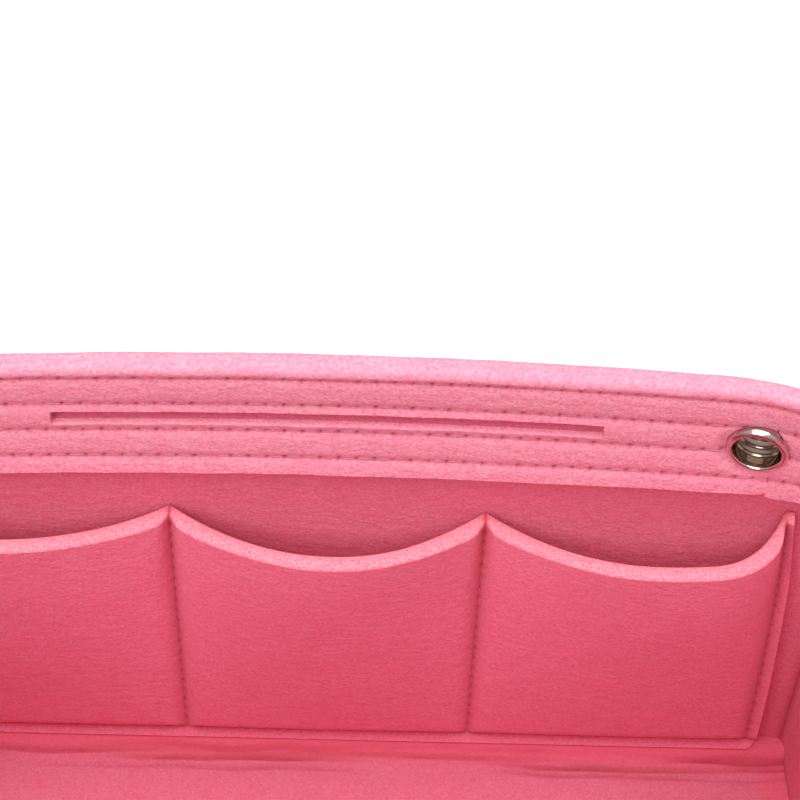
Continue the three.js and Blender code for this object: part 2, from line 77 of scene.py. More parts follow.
# The band: the unevenness of its face as depth, size and seed, the wave of its foot, and its cut edges.
BAND_ROUGHNESS = ((0.00018, 0.009, 10), (0.00007, 0.0013, 0))
FOOT_WAVE, FOOT_WAVE_SIZE, FOOT_ROUND = 0.00035, 0.024, 0.0004
# Painted light: the first share brightens the slot's edges in the back wall, standing in for light that does not reach
# into the narrow slot; the second is how pale the band's own cut edges are.
SLOT_PAINTED_LIGHT, BAND_PALENESS = 1.0, 0.8
# How unequal the needle holes are: their usual share, how far they stray, and the least.
PULL, PULL_STRAY, PULL_LEAST = 0.8, 0.9, 0.35
# The pockets: how full their mouths are, how much less the left one gapes, and how their lips are rounded and turned.
MOUTH_POWER, OUTER_MOUTH_POWER, LEFT_GAPE = 2.1, 3.0, 0.82
LIP_ROUND, LIP_TURN, LIP_BLUNT = 0.0007, 0.0014, 0.65
MARGIN_PALENESS, MARGIN_ROUND = 0.3, 0.7
# The pad: how far it runs up the back wall and the end walls, and how far it is uneven.
PAD_RISE, PAD_END_RISE, PAD_SWAY = 0.0048, 0.0016, 0.0004
# The pad's wrinkles along the back wall: how far each lies from the pad's edge, and its depth as a share.
WRINKLES = ((0.0045, 0.8), (0.0054, 1.0), (0.0065, 1.0), (0.008, 0.7))
WRINKLE_WIDTH = 0.00042
WRINKLE_DEPTH = 0.0011
# How deep stitches lie in the felt, as a share of the thread's radius.
SUNK, HEM_SUNK, POCKET_SUNK = 0.3, 0.7, 0.6
# The lamps: name, place, what they point at, size and power.
LAMPS = (
    ("overhead_softbox", (0.0, -0.1, 1.2), (0, 0.02, 0.05), 1.2, 12.5),
    ("front_softbox", (-0.35, -0.9, 0.9), (0, 0.03, 0.06), 0.8, 7.5),
)
CAMERA_PLACE = (0.0083, -0.1886, 0.3518)
CAMERA_YAW, CAMERA_PITCH, CAMERA_ROLL = math.radians(1.09), math.radians(45), math.radians(2.24)


def length(name, description, default):
    return FloatProperty(name=name, description=description, default=default, min=0, unit="LENGTH", precision=5)


def share(name, description, default):
    return FloatProperty(name=name, description=description, default=default, min=0, max=1, subtype="FACTOR")


def number(name, description, default, least, most):
    return IntProperty(name=name, description=description, default=default, min=least, max=most)


def angle(name, description, degrees):
    return FloatProperty(name=name, description=description, default=math.radians(degrees), unit="ROTATION")


def colour(name, description, default):
    return FloatVectorProperty(
        name=name, description=description, default=default, size=3, min=0, max=1, subtype="COLOR"
    )


class InsertBox(bpy.types.PropertyGroup):
    """The box and its felt."""

    inner_length: length("Inner length", "Between the end walls at the base", 0.198)
    inner_depth: length("Inner depth", "Between the long walls", 0.104)
    height: length("Height", "From the underside of the base to the top of the rim", CAD_BOX[1][2])
    base_corner: length("Base corner", "Inner radius of the upright corners at the base", 0.005)
    rim_corner: length("Rim corner", "Inner radius of the upright corners at the rim", 0.038)
    rim_spread: length("Rim spread", "How much further out each end wall stands at the rim", 0.01)
    rim_bow: length("Rim bow", "How far the rim of a long wall bows out in its middle", 0.0035)
    bow_span: length("Bow span", "Distance from that middle over which it does", 0.08)
    wall_felt: length("Wall felt", "Thickness of the walls", 0.003)
    base_felt: length("Base felt", "Thickness of the base", 0.003)
    pad_felt: length("Pad felt", "Thickness of the loose pad", 0.003)
    clearance: length("Clearance", "Between neighbouring layers", 0.0003)
    contact: length("Contact", "Between the band and the wall that it lies on", 0.00003)
    seam_allowance: length("Seam allowance", "Width of the seam edges turned to the outside", 0.0045)
    seam_start: length("Seam start", "From the bottom seam edge up to the corner seam edges", 0.0025)
    seam_stop: length("Seam stop", "From the corner seam edges up to the band", 0.002)
    pad_gap: length("Pad gap", "From the pad to the walls", 0.00015)
    sway: length("Sway", "How far the soft walls stray from flat", 0.0005)


class InsertBand(bpy.types.PropertyGroup):
    """The band that is folded over the rim."""

    depth: length("Depth", "From the rim to the band's foot", 0.025)
    end_drop: length("End drop", "How much lower the foot of the end pieces hangs", 0.0009)
    felt: length("Felt", "Thickness of the band", 0.0026)
    rows: number("Rows", "Rows of stitching", 4, 1, 8)
    row_pitch: length("Row pitch", "From one row of stitching to the next", 0.0062)
    groove: length("Groove", "How deep a row is pulled into the felt", 0.0004)
    groove_reach: length("Groove reach", "How far from a row the felt is pulled in", 0.001)
    roll: length("Roll", "How plump the folded rim is", 0.0004)
    lean: length("Lean", "How much further from the wall the band's foot stands than its first row", 0.0018)
    slot_length: length("Slot length", "Length of the slot in the back", 0.0995)
    slot_gap: length("Slot gap", "Height of the slot", 0.003)
    join_gap: length("Join gap", "Between the ends of the band's pieces", 0.000004)
    notch: length("Notch", "How far the foot is rounded off where two pieces of the band meet", 0.0009)
    join_offset: length("Join offset", "From an eyelet's axis to the join beside it", 0.0022)


class InsertPockets(bpy.types.PropertyGroup):
    """The pockets on the long walls."""

    count: number("Count", "Pockets on each long wall", 3, 1, 6)
    end: length("End", "From the last seam to the end wall", 0.009)
    lift: length("Lift", "From the pad up to the bottom seam", 0.0068)
    margin: length("Margin", "Felt beyond the outer seams", 0.002)
    gap: length("Gap", "Between a panel and its wall along the seams", 0.0005)
    top: length("Top", "From the ends of the panel up to the band", 0.0067)
    end_rise: length("End rise", "How much higher the panel's ends are than its divisions", 0.005)
    dip: length("Dip", "How far a mouth sags between its seams", 0.002)
    end_dip: length("End dip", "How much more the mouth of an end pocket sags", 0.0034)
    bulge: length("Bulge", "How far each mouth gapes", 0.0102)
    skew: share("Skew", "How far an end pocket gapes beyond its middle, as a share of its width", 0.18)
    lean: length("Lean", "How far the end seams lean in at their tops", 0.004)
    felt: length("Felt", "Thickness of the panel", 0.0036)
    pinch: share("Pinch", "Share of the thickness that a seam takes away", 0.3)
    pinch_reach: length("Pinch reach", "How far from a seam that shows", 0.0018)
    groove: length("Groove", "How deep the seams are cut into the felt", 0.0007)


class InsertEyelets(bpy.types.PropertyGroup):
    """The eyelets at the ends of the slot."""

    inset: length("Inset", "Along the felt from the end wall to the eyelet's axis", 0.0207)
    hole: length("Hole", "Diameter of the hole", 0.0087)
    metal: length("Metal", "Thickness of the barrel", 0.0005)
    lip: length("Lip", "Half the width of the rolled lips", 0.0007)
    lip_rise: length("Lip rise", "How far the rolled lips stand out", 0.0013)
    bead: length("Bead", "How far the rings inside the barrel stand in", 0.0003)
    beads: number("Beads", "Rings inside the barrel", 3, 0, 8)
    washer_rim: length("Washer rim", "From the washer's hole to its edge", 0.0014)
    washer_rise: length("Washer rise", "Height of the washer", 0.0009)
    lean: angle("Lean", "Angle by which an eyelet turns to its corner", 9.5)
    tip: angle("Tip", "Angle by which an eyelet's back tips up", 4)
    drop: length("Drop", "How far an eyelet sits below the middle of the slot", 0.0008)
    stand: length("Stand", "How far the flange and the washer stand off the felt", 0.0001)


class InsertStitches(bpy.types.PropertyGroup):
    """The sewing."""

    pitch: length("Pitch", "From one needle hole to the next", 0.0033)
    thread: length("Thread", "Diameter of the thread", 0.00045)
    needle: length("Needle", "Radius of a needle hole", 0.00042)
    needle_depth: length("Needle depth", "How deep the felt is drawn in at a needle hole", 0.0005)


class InsertFinish(bpy.types.PropertyGroup):
    """The colours."""

    # Painted shade: the walls' felt is a darker copy of the felt, standing in for the shade under the band and inside
    # the box.
    wall: colour("Wall", "Colour of the walls' felt", (0.85, 0.24, 0.35))
    wall_deep: colour("Wall, deep", "Colour between the fibres of the walls' felt", (0.78, 0.135, 0.23))
    felt: colour("Felt", "Colour of the felt", (0.93, 0.285, 0.41))
    felt_deep: colour("Felt, deep", "Colour between the felt's fibres", (0.87, 0.165, 0.275))
    # Painted light: the band's felt is a paler copy of the felt, standing in for the whiter light that falls on the
    # rim.
    band: colour("Band", "Colour of the band's felt", (0.965, 0.445, 0.545))
    band_deep: colour("Band, deep", "Colour between the fibres of the band's felt", (0.85, 0.24, 0.36))
    # Painted shade: the pad's felt is a darker copy of the felt, standing in for the dimmer light on the floor of the
    # box.
    pad: colour("Pad", "Colour of the pad's felt", (0.8, 0.25, 0.35))
    pad_deep: colour("Pad, deep", "Colour between the fibres of the pad's felt", (0.74, 0.155, 0.25))
    # Painted shade: the pad is drawn towards this colour where it runs up the back and end walls, and at its cut edges.
    fold: colour("Fold", "Colour of the pad's folds", (0.86, 0.12, 0.19))
    cut: colour("Cut edge", "Colour of the felt's cut edges", (0.97, 0.35, 0.42))
    cut_deep: colour("Cut edge, deep", "Colour between the fibres of the cut edges", (0.83, 0.16, 0.23))
    # Painted light: a brighter coral for the slot's edges in the back wall, standing in for light that does not reach
    # into the narrow slot.
    coral: colour("Slot", "Colour of the slot's edges in the wall", (1.0, 0.46, 0.42))
    coral_deep: colour("Slot, deep", "Colour between the fibres of the slot's edges", (1.0, 0.34, 0.31))
    # Painted shade: creases, seams, needle holes and the valleys of the pad's wrinkles are drawn towards this colour,
    # standing in for the shade that falls into them.
    crease: colour("Crease", "Colour of the felt's creases and needle holes", (0.5, 0.035, 0.07))
    thread: colour("Thread", "Colour of the thread", (0.86, 0.26, 0.37))
    nickel: colour("Nickel", "Colour of the eyelets", (0.76, 0.72, 0.69))
    floor: colour("Floor", "Colour of the floor", (0.97, 0.97, 0.97))


GROUPS = {
    "insert_box": InsertBox,
    "insert_band": InsertBand,
    "insert_pockets": InsertPockets,
    "insert_eyelets": InsertEyelets,
    "insert_stitches": InsertStitches,
    "insert_finish": InsertFinish,
}


def mix(a, b, part):
    """The number that lies a part of the way from a to b."""
    return a + (b - a) * part


def ease(value, start, stop):
    """0 before start, 1 after stop, and smooth between them."""
    part = min(max((value - start) / (stop - start), 0.0), 1.0)
    return part * part * (3 - 2 * part)


def spread(start, stop, steps):
    """Evenly spaced numbers from start to stop."""
    return [mix(start, stop, i / steps) for i in range(steps + 1)]


def wander(a, b, size, seed):
    """A smooth wavering number from -1 to 1 for a place (a, b), with waves of about the given size."""
    return noise.noise(Vector((a / size, b / size, seed)))


class Form:
    """The insert's form, worked out from the sizes in the sidebar."""

    def __init__(self, scene):
        for name in ("box", "band", "pockets", "eyelets", "stitches"):
            sizes = getattr(scene, f"insert_{name}")
            setattr(self, name, {size: getattr(sizes, size) for size in GROUPS[f"insert_{name}"].__annotations__})
        box, band, pockets, eyelets = self.box, self.band, self.pockets, self.eyelets
        self.height = box["height"]
        self.wall_foot = box["base_felt"] + box["clearance"]
        self.pad_top = self.wall_foot + box["pad_felt"]
        self.flange_top = self.wall_foot + box["wall_felt"]
        self.seam_foot = self.flange_top + box["seam_start"]
        self.band_foot = self.height - band["depth"]
        self.seam_top = self.band_foot - box["seam_stop"]
        self.seam_edge = box["wall_felt"] + box["seam_allowance"]
        self.seam_line = box["wall_felt"] + box["seam_allowance"] / 2
        self.rim_radius = band["felt"] + box["clearance"] / 2
        self.rows = [self.height - self.rim_radius - row * band["row_pitch"] for row in range(band["rows"])]
        self.wall_top = self.rows[0] - band["row_pitch"] / 2
        self.slot_height = self.rows[1] - band["row_pitch"] / 2
        self.wall_middle = box["wall_felt"] / 2
        self.slit = self.wall_middle + box["contact"]
        self.full_reach = self.wall_middle + box["clearance"] + band["felt"]
        self.eyelet_along = box["inner_length"] / 2 - eyelets["inset"]
        self.barrel = eyelets["hole"] / 2 + eyelets["metal"]
        self.eyelet_edge = eyelets["hole"] / 2 + 2 * eyelets["lip"]
        self.join_along = self.eyelet_along + band["join_offset"]
        self.pocket_half = box["inner_length"] / 2 - pockets["end"]
        self.pocket_width = 2 * self.pocket_half / pockets["count"]
        self.pocket_seam = self.pad_top + pockets["lift"]
        self.pocket_peak = self.band_foot - pockets["top"]
        self.rim_quarter = self.rim_radius * math.pi / 2
        self.eyelet_frames = {side: self.eyelet_frame(side) for side in (1, -1)}
        self.flange_seat = band_reach(self, self.slot_height) + eyelets["stand"]

    def plan(self, height):
        """The corners' inner radius and half the straight runs of the long walls and of the end walls at a height."""
        rise = min(max(height / self.height, 0.0), 1.0) ** 3
        radius = mix(self.box["base_corner"], self.box["rim_corner"], rise)
        straight_long = self.box["inner_length"] / 2 + self.box["rim_spread"] * rise - radius
        straight_end = self.box["inner_depth"] / 2 - radius
        return radius, straight_long, straight_end

    def depth_left(self, x, height):
        """How much of the depth is left at a place along the length, where the long walls bow in towards their ends."""
        bow = self.box["rim_bow"] * ease(height / self.height, 0.3, 1.05) * (x / self.box["bow_span"]) ** 2
        return 1 - bow / (self.box["inner_depth"] / 2)

    def quarter(self, height):
        """Distance along the felt over a quarter of the way round."""
        radius, straight_long, straight_end = self.plan(height)
        return straight_long + straight_end + radius * math.pi / 2

    def half(self, wall, height):
        """Distance along the felt from the middle of a wall to its corners."""
        radius, straight_long, straight_end = self.plan(height)
        return (straight_end if wall % 2 else straight_long) + radius * math.pi / 4

    def on_wall(self, wall, along, height, out):
        """A point by its distance along the felt from the middle of a wall, its height, and its distance out."""
        radius, straight_long, straight_end = self.plan(height)
        arc = radius * math.pi / 2
        quarter = straight_long + straight_end + arc
        lap = (wall * quarter + along) % (4 * quarter)
        right = lap <= 2 * quarter
        run = lap if right else 4 * quarter - lap
        back = run <= quarter
        run = run if back else 2 * quarter - run
        turn = min(max((run - straight_long) / radius, 0.0), math.pi / 2)
        x = min(run, straight_long) + (radius + out) * math.sin(turn)
        y = straight_end - max(run - straight_long - arc, 0.0) + (radius + out) * math.cos(turn)
        y *= self.depth_left(x, height)
        return Vector((x if right else -x, y if back else -y, height))

    def eyelet_frame(self, side):
        """Where an eyelet sits: its middle, and its axis out of the felt."""
        step = 0.0005

        def at(along, height):
            return self.on_wall(BACK, side * self.eyelet_along + along, self.slot_height + height, self.wall_middle)

        across = at(step, 0) - at(-step, 0)
        up = at(0, step) - at(0, -step)
        lean = Matrix.Rotation(-side * self.eyelets["lean"], 3, "Z") @ Matrix.Rotation(self.eyelets["tip"], 3, "X")
        return at(0, -self.eyelets["drop"]), (lean @ up.cross(across)).normalized()

    def needle(self, along, beside):
        """How much of a needle hole there is at a place along a row of stitches and beside it."""
        pitch, radius = self.stitches["pitch"], self.stitches["needle"]
        near = (along / pitch + 0.5) % 1 * pitch - pitch / 2
        return math.exp(-(near * near + beside * beside) / (radius * radius))


def new_object(name, mesh, body, material, nodes):
    """A piece that rides on a body and stands for CAD nodes."""
    piece = bpy.data.objects.new(name, mesh)
    bpy.context.scene.collection.objects.link(piece)
    piece.data.materials.append(material)
    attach(piece, body)
    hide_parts(*nodes)
    return piece


def felt_block(us, vs, layers, place):
    """A felt sheet as a closed mesh. Its grid runs over us and vs, and place(u, v, t) gives a point and how much
    of a cut edge and of a crease is there, with t from 0 on its first face to 1 on its other face."""
    columns, rows = len(us) - 1, len(vs) - 1
    bm = bmesh.new()
    bmesh.ops.create_grid(bm, x_segments=columns, y_segments=rows, size=0.5)
    for vert in bm.verts:
        vert.co.x = us[round((vert.co.x + 0.5) * columns)]
        vert.co.y = vs[round((vert.co.y + 0.5) * rows)]
    made = bmesh.ops.extrude_face_region(bm, geom=bm.faces[:], use_keep_orig=True)
    top = [item for item in made["geom"] if isinstance(item, bmesh.types.BMVert)]
    bmesh.ops.translate(bm, vec=(0, 0, 1), verts=top)
    for layer in layers:
        everything = bm.verts[:] + bm.edges[:] + bm.faces[:]
        bmesh.ops.bisect_plane(bm, geom=everything, dist=1e-6, plane_co=(0, 0, layer), plane_no=(0, 0, 1))
    cut_layer = bm.verts.layers.float.new("cut_edge")
    shaded_crease_layer = bm.verts.layers.float.new("crease")
    for vert in bm.verts:
        vert.co, vert[cut_layer], vert[shaded_crease_layer] = place(*vert.co)
    bmesh.ops.recalc_face_normals(bm, faces=bm.faces[:])
    return bm


def to_mesh(bm, name, sharp=SHARP):
    """The mesh of a closed bmesh, with its faces outwards and smooth up to an angle."""
    if bm.calc_volume(signed=True) < 0:
        bmesh.ops.reverse_faces(bm, faces=bm.faces[:])
    mesh = bpy.data.meshes.new(name)
    bm.to_mesh(mesh)
    bm.free()
    mesh.shade_smooth()
    mesh.set_sharp_from_angle(angle=math.radians(sharp))
    return mesh


def crown(t):
    """How a cut edge stands out across the felt's thickness."""
    return 1 - (2 * t - 1) ** 2


def cut_through(piece, cutter):
    """Cuts the cutter's shape out of a piece and throws the cutter away."""
    bpy.context.scene.collection.objects.link(cutter)
    modifier = piece.modifiers.new("Cut", "BOOLEAN")
    modifier.operation = "DIFFERENCE"
    modifier.solver = "MANIFOLD"
    modifier.object = cutter
    depsgraph = bpy.context.evaluated_depsgraph_get()
    mesh = bpy.data.meshes.new_from_object(piece.evaluated_get(depsgraph))
    piece.modifiers.clear()
    mesh.set_sharp_from_angle(angle=math.radians(SHARP))
    old = piece.data
    mesh.name = old.name
    piece.data = mesh
    bpy.data.meshes.remove(old)
    bpy.data.objects.remove(cutter)


def opening_cutter(form, paleness):
    """The slot and the two eyelet holes as one cutter, marked as cut edges of a paleness."""
    bm = bmesh.new()
    through = 8 * form.full_reach
    slot = Matrix.Translation((0, form.box["inner_depth"] / 2 + form.wall_middle, form.slot_height))
    size = Matrix.Diagonal((form.band["slot_length"], through, form.band["slot_gap"], 1))
    bmesh.ops.create_cube(bm, size=1, matrix=slot @ size)
    for middle, axis in form.eyelet_frames.values():
        turn = axis.to_track_quat("Z", "Y").to_matrix().to_4x4()
        radius = form.barrel + form.box["clearance"] / 2
        bmesh.ops.create_cone(
            bm, cap_ends=True, segments=64, radius1=radius, radius2=radius, depth=through,
            matrix=Matrix.Translation(middle) @ turn,
        )
    cut_layer = bm.verts.layers.float.new("cut_edge")
    for vert in bm.verts:
        vert[cut_layer] = paleness
    return bpy.data.objects.new("opening_cutter", to_mesh(bm, "opening_cutter"))


def wall_sway(form, wall, along, height):
    """How far a wall's felt sways out at a place. It is still at its ends, at its foot and under the band."""
    to_end = form.half(wall, height) - abs(along)
    calm = ease(to_end, 0, 0.02) * ease(height, form.wall_foot, 0.03)
    calm *= 1 - ease(height, form.seam_top - 0.01, form.seam_top)
    return form.box["sway"] * calm * wander(along, height, SWAY_WAVE, wall)


def wall_piece(form, wall, material):
    """A wall, with its foot and its ends turned out into seam edges."""
    box, felt = form.box, form.box["wall_felt"]
    ends = [0.0, 0.003, 0.007, 0.012, 0.02, 0.027, 0.032, 0.038, 0.046, 0.06]
    us = [-1 + end for end in ends] + spread(-0.92, 0.92, 64) + [1 - end for end in reversed(ends)]
    step = 0.0004
    vs = [form.wall_foot, form.wall_foot + step, form.flange_top - step, form.flange_top, form.flange_top + step,
          form.flange_top + 2 * step, form.flange_top + 4 * step, form.seam_foot, form.seam_foot + step,
          form.seam_foot + 2 * step]
    vs += spread(form.seam_foot + 4 * step, form.seam_top - 4 * step, 36)
    vs += [form.seam_top - 2 * step, form.seam_top - step, form.seam_top]
    vs += spread(form.seam_top, form.wall_top, 8)[1:]

    def place(u, v, t):
        half = form.half(wall, v) - 0.00002
        along = u * half
        foot = 1 - ease(v, form.flange_top - step, form.flange_top + 2 * step)
        to_end = half - abs(along)
        upright = ease(v, form.seam_foot, form.seam_foot + 2 * step)
        upright *= 1 - ease(v, form.seam_top - 2 * step, form.seam_top)
        edge = (1 - ease(to_end, felt, felt + TURN_REACH)) * upright
        turned = max(foot, edge)
        # The corner crease: its falloff presses the inside face in, and as painted shade it draws the inside face
        # towards the shaded-crease colour.
        crease = math.exp(-to_end / CREASE_REACH)
        out = wall_sway(form, wall, along, v) + CORNER_CREASE * crease * (1 - t)
        out += t * (felt + box["seam_allowance"] * turned)
        cut = turned if t > 0.999 else (1.0 if abs(u) > 0.9999 and t > 0.5 else 0.0)
        return form.on_wall(wall, along, v, out), SEAM_PALENESS * cut, 0.8 * crease * (1 - t)

    name = f"{WALL_NAMES[wall]}_wall"
    mesh = to_mesh(felt_block(us, vs, (0.2, 0.4, 0.6, 0.8), place), f"{name}_felt")
    piece = new_object(f"{name}_felt", mesh, "insert", material, [name])
    if wall == BACK:
        # The slot's edges in the wall are marked for painted light.
        cut_through(piece, opening_cutter(form, SLOT_PAINTED_LIGHT))
    flat = (2 * form.half(wall, 0), form.wall_top - form.wall_foot + 2 * box["seam_allowance"])
    return piece


def band_span(form, wall, height):
    """Where a piece of the band starts and stops at a height, from the middle of its wall."""
    if wall % 2 == 0:
        stop = form.join_along - form.band["join_gap"] / 2
    else:
        stop = form.quarter(height) - form.join_along - form.band["join_gap"] / 2
    return -stop, stop


def band_reach(form, height):
    """How far the band's face stands from the middle of the wall: pulled in at its rows and full between them."""
    band = form.band
    lean = band["lean"] * ((form.rows[0] - height) / (form.rows[0] - form.band_foot)) ** 2
    near = min(abs(height - row) for row in form.rows)
    return form.rim_radius + lean - band["groove"] * math.exp(-((near / band["groove_reach"]) ** 2))


def band_face(form, run):
    """The distance from the middle of the wall, and the height, at a distance along the face from the rim's top."""
    if run < form.rim_quarter:
        turn = run / form.rim_radius
        to_row = (form.rim_quarter - run) / form.band["groove_reach"]
        radius = form.rim_radius + form.band["roll"] * math.sin(2 * turn)
        radius -= form.band["groove"] * math.exp(-to_row * to_row)
        return radius * math.sin(turn), form.rows[0] + radius * math.cos(turn)
    height = form.rows[0] - (run - form.rim_quarter)
    return band_reach(form, height), height


def band_piece(form, wall, material):
    """The band's piece on a wall, folded over the rim and pulled in along its rows of stitches."""
    sewing, band = form.stitches, form.band
    reference = form.rows[-1]
    start, stop = band_span(form, wall, reference)
    steps = round((stop - start) / (sewing["pitch"] / 5))
    fine = [0.0, 0.2 / steps, 0.5 / steps]
    us = fine + [i / steps for i in range(1, steps)] + [1 - part for part in reversed(fine)]
    runs = spread(0, form.rim_quarter - 0.0012, 7)
    offsets = (-0.0009, -0.0005, -0.0002, 0, 0.0002, 0.0005, 0.0009, 0.0015, 0.0022, 0.0031, 0.004, 0.0047)
    for row in form.rows:
        runs += [form.rim_quarter + form.rows[0] - row + offset for offset in offsets]
    foot_run = form.rim_quarter + form.rows[0] - form.band_foot
    runs = [run for run in runs if run < foot_run - 0.0006] + [foot_run - 0.0005, foot_run - 0.0002, foot_run]
    vs = [-run for run in reversed(runs)] + runs[1:]

    def place(u, v, t):
        side = -1 if v < 0 else 1
        run = abs(v)
        out, height = band_face(form, run)
        first, last = band_span(form, wall, height)
        along = mix(first, last, u)
        stitched = u * (stop - start)
        beside = min(abs(height - row) for row in form.rows) if run > form.rim_quarter - 0.001 else 1.0
        row = min(range(len(form.rows)), key=lambda index: abs(height - form.rows[index]))
        pull = PULL + PULL_STRAY * wander(round(stitched / sewing["pitch"]), 3 * row + side, 0.73, wall + 31)
        hole = form.needle(stitched, beside) * min(max(pull, PULL_LEAST), 1.0)
        out -= sewing["needle_depth"] * hole
        ends = min(u, 1 - u) * (stop - start)
        loose = ease(ends, 0, 0.004)
        out += sum(depth * wander(along, v, size, wall + seed) for depth, size, seed in BAND_ROUGHNESS) * loose
        near_foot = ease(run, foot_run - 0.005, foot_run)
        wave = FOOT_WAVE * wander(along, side, FOOT_WAVE_SIZE, wall + 20) * near_foot * loose
        notch = band["notch"] * math.exp(-ends / 0.0012) * ease(run, foot_run - 0.003, foot_run)
        notch -= band["end_drop"] * (wall % 2) * ease(run, foot_run - 0.006, foot_run)
        inner = form.slit if height < form.wall_top + form.box["clearance"] else 0.0001
        inner_height = min(height, form.wall_top + form.box["clearance"])
        point_out = mix(out, inner, t)
        point_height = mix(height, inner_height, t) + wave * (1 - t) + notch
        cut = 0.0
        if run >= foot_run - AT_EDGE:
            point_height -= FOOT_ROUND * crown(t)
            cut = 1.0 if t > 0.05 else 0.5
        if (u < AT_EDGE or u > 1 - AT_EDGE) and t > 0.05:
            cut = 1.0
        point = form.on_wall(wall, along, point_height, form.wall_middle + side * point_out)
        for middle, axis in form.eyelet_frames.values():
            arm = point - middle
            if arm.length < 0.014 and t < 0.5:
                reach = side * arm.dot(axis)
                radial = (arm - axis * side * reach).length
                held = 1 - ease(radial, form.eyelet_edge, form.eyelet_edge + 0.002)
                point -= axis * side * held * max(reach - form.flange_seat, 0.0)
        # Painted shade in the needle holes and along the grooves of the rows.
        groove = 0.18 * math.exp(-beside / 0.0005)
        return point, cut, min(0.9 * hole + groove, 1.0)

    name = f"{WALL_NAMES[wall]}_band"
    mesh = to_mesh(felt_block(us, vs, (0.15, 0.5, 0.85), place), f"{name}_felt")
    piece = new_object(f"{name}_felt", mesh, "insert", material, [name])
    if wall != FRONT:
        cut_through(piece, opening_cutter(form, BAND_PALENESS))
    return piece


def pocket_column(form, along):
    """How open a pocket is at a place along its panel, how far the next upright seam is, and the top's height."""
    pockets = form.pockets
    inside = abs(along) < form.pocket_half
    run = (along + form.pocket_half) / form.pocket_width
    pocket = min(max(math.floor(run), 0), pockets["count"] - 1)
    part = run - pocket
    outward = pocket - (pockets["count"] - 1) / 2
    widest = 0.5 + pockets["skew"] * ((outward > 0) - (outward < 0))
    aside = abs(part - widest) / (widest if part < widest else 1 - widest)
    power = OUTER_MOUTH_POWER if (part - widest) * outward > 0 else MOUTH_POWER
    gape = max(1 - aside ** power, 0.0) * (LEFT_GAPE if outward < 0 else 1.0) if inside else 0.0
    to_seam = min(part, 1 - part) * form.pocket_width if inside else abs(along) - form.pocket_half
    end = ease(abs(along), form.pocket_half - form.pocket_width, form.pocket_half)
    dip = pockets["dip"] + pockets["end_dip"] * (outward != 0)
    top = form.pocket_peak - pockets["end_rise"] * (1 - end) - dip * gape
    return gape, to_seam, top


def leaned_along(form, along, height):
    """Where a place on a panel lies along its wall. The end seams lean in more the higher they go."""
    lift = max(height - form.pocket_seam, 0.0) / (form.pocket_peak - form.pocket_seam)
    return along - form.pockets["lean"] * lift ** 2 * (along / form.pocket_half) ** 3


def pocket_piece(form, wall, material):
    """The panel of a row of pockets, sewn down on its ends, its bottom and its divisions."""
    pockets, sewing = form.pockets, form.stitches
    near = [0, 0.00025, 0.0005, 0.0009, 0.0014, 0.002, 0.0028, 0.0038, 0.005, 0.0065, 0.0082]
    middle = spread(near[-1], form.pocket_width - near[-1], 28)[1:-1]
    columns = near + middle + [form.pocket_width - reach for reach in reversed(near)][:-1]
    margin = [0.0003, 0.0006, 0.0012, 0.0019, pockets["margin"]]
    us = [-form.pocket_half - reach for reach in reversed(margin)]
    for pocket in range(pockets["count"]):
        us += [-form.pocket_half + pocket * form.pocket_width + column for column in columns]
    us += [form.pocket_half + reach for reach in [0] + margin]
    rise = form.pocket_peak - form.pocket_seam
    steps = round(rise / (sewing["pitch"] / 5))
    vs = [-1, -0.8, -0.5, -0.25, -0.1, 0, 0.3 / steps] + [i / steps for i in range(1, steps)]
    vs += [1 - 0.5 / steps, 1 - 0.2 / steps, 1]

    def place(u, v, t):
        gape, to_seam, top = pocket_column(form, u)
        beyond = max(abs(u) - form.pocket_half, 0.0) / pockets["margin"]
        height = form.pocket_seam + v * pockets["margin"] * (1 - MARGIN_ROUND * beyond ** 2)
        if v > 0:
            height = mix(form.pocket_seam, top, v)
        lift = max(v, 0.0)
        above = abs(height - form.pocket_seam)
        seam = min(to_seam, above) if v > 0 else above
        blunt = 1 - LIP_BLUNT * ease(v, 0.95, 1.0)
        felt = pockets["felt"] * (1 - pockets["pinch"] * blunt * math.exp(-((seam / pockets["pinch_reach"]) ** 2)))
        hole = 0.0
        if v > -0.01:
            hole = form.needle(height - form.pocket_seam, to_seam)
        if abs(u) < form.pocket_half + 0.001:
            hole = max(hole, form.needle(u + form.pocket_half, above))
        groove = pockets["groove"] * blunt * math.exp(-seam / 0.0009) + sewing["needle_depth"] * 0.25 * hole
        calm = ease(seam, 0, 0.02)
        sway = form.box["sway"] * 1.4 * calm * wander(u, height, 0.03, wall + 30)
        gap = pockets["gap"] + pockets["bulge"] * gape * lift + max(sway, -0.0002)
        out = -(gap + t * (felt - groove))
        # Painted shade along the seams and in the needle holes.
        crease = 0.35 * hole + 0.6 * math.exp(-seam / 0.0007)
        cut = 0.0
        if v > 1 - AT_EDGE:
            height += LIP_ROUND * (1 - (2 * t - 1) ** 4)
            cut = 1.0
        if v < -1 + AT_EDGE or abs(u) > form.pocket_half + pockets["margin"] - AT_EDGE:
            cut = MARGIN_PALENESS if t > 0.05 else 0.0
        turned = LIP_TURN * (1 - ease(to_seam, 0.004, 0.018)) * ease(to_seam, 0, 0.004) * ease(v, 0.6, 1.0)
        past = ((u + form.pocket_half) / form.pocket_width) % 1 > 0.5
        along = u + t * (turned if past else -turned) * (abs(u) < form.pocket_half)
        return form.on_wall(wall, leaned_along(form, along, height), height, out), cut, min(crease, 1.0)

    name = f"{WALL_NAMES[wall]}_pocket_panel"
    mesh = to_mesh(felt_block(us, vs, (0.07, 0.2, 0.5, 0.8, 0.93), place), f"{name}_felt")
    piece = new_object(f"{name}_felt", mesh, "insert", material, [name])
    return piece


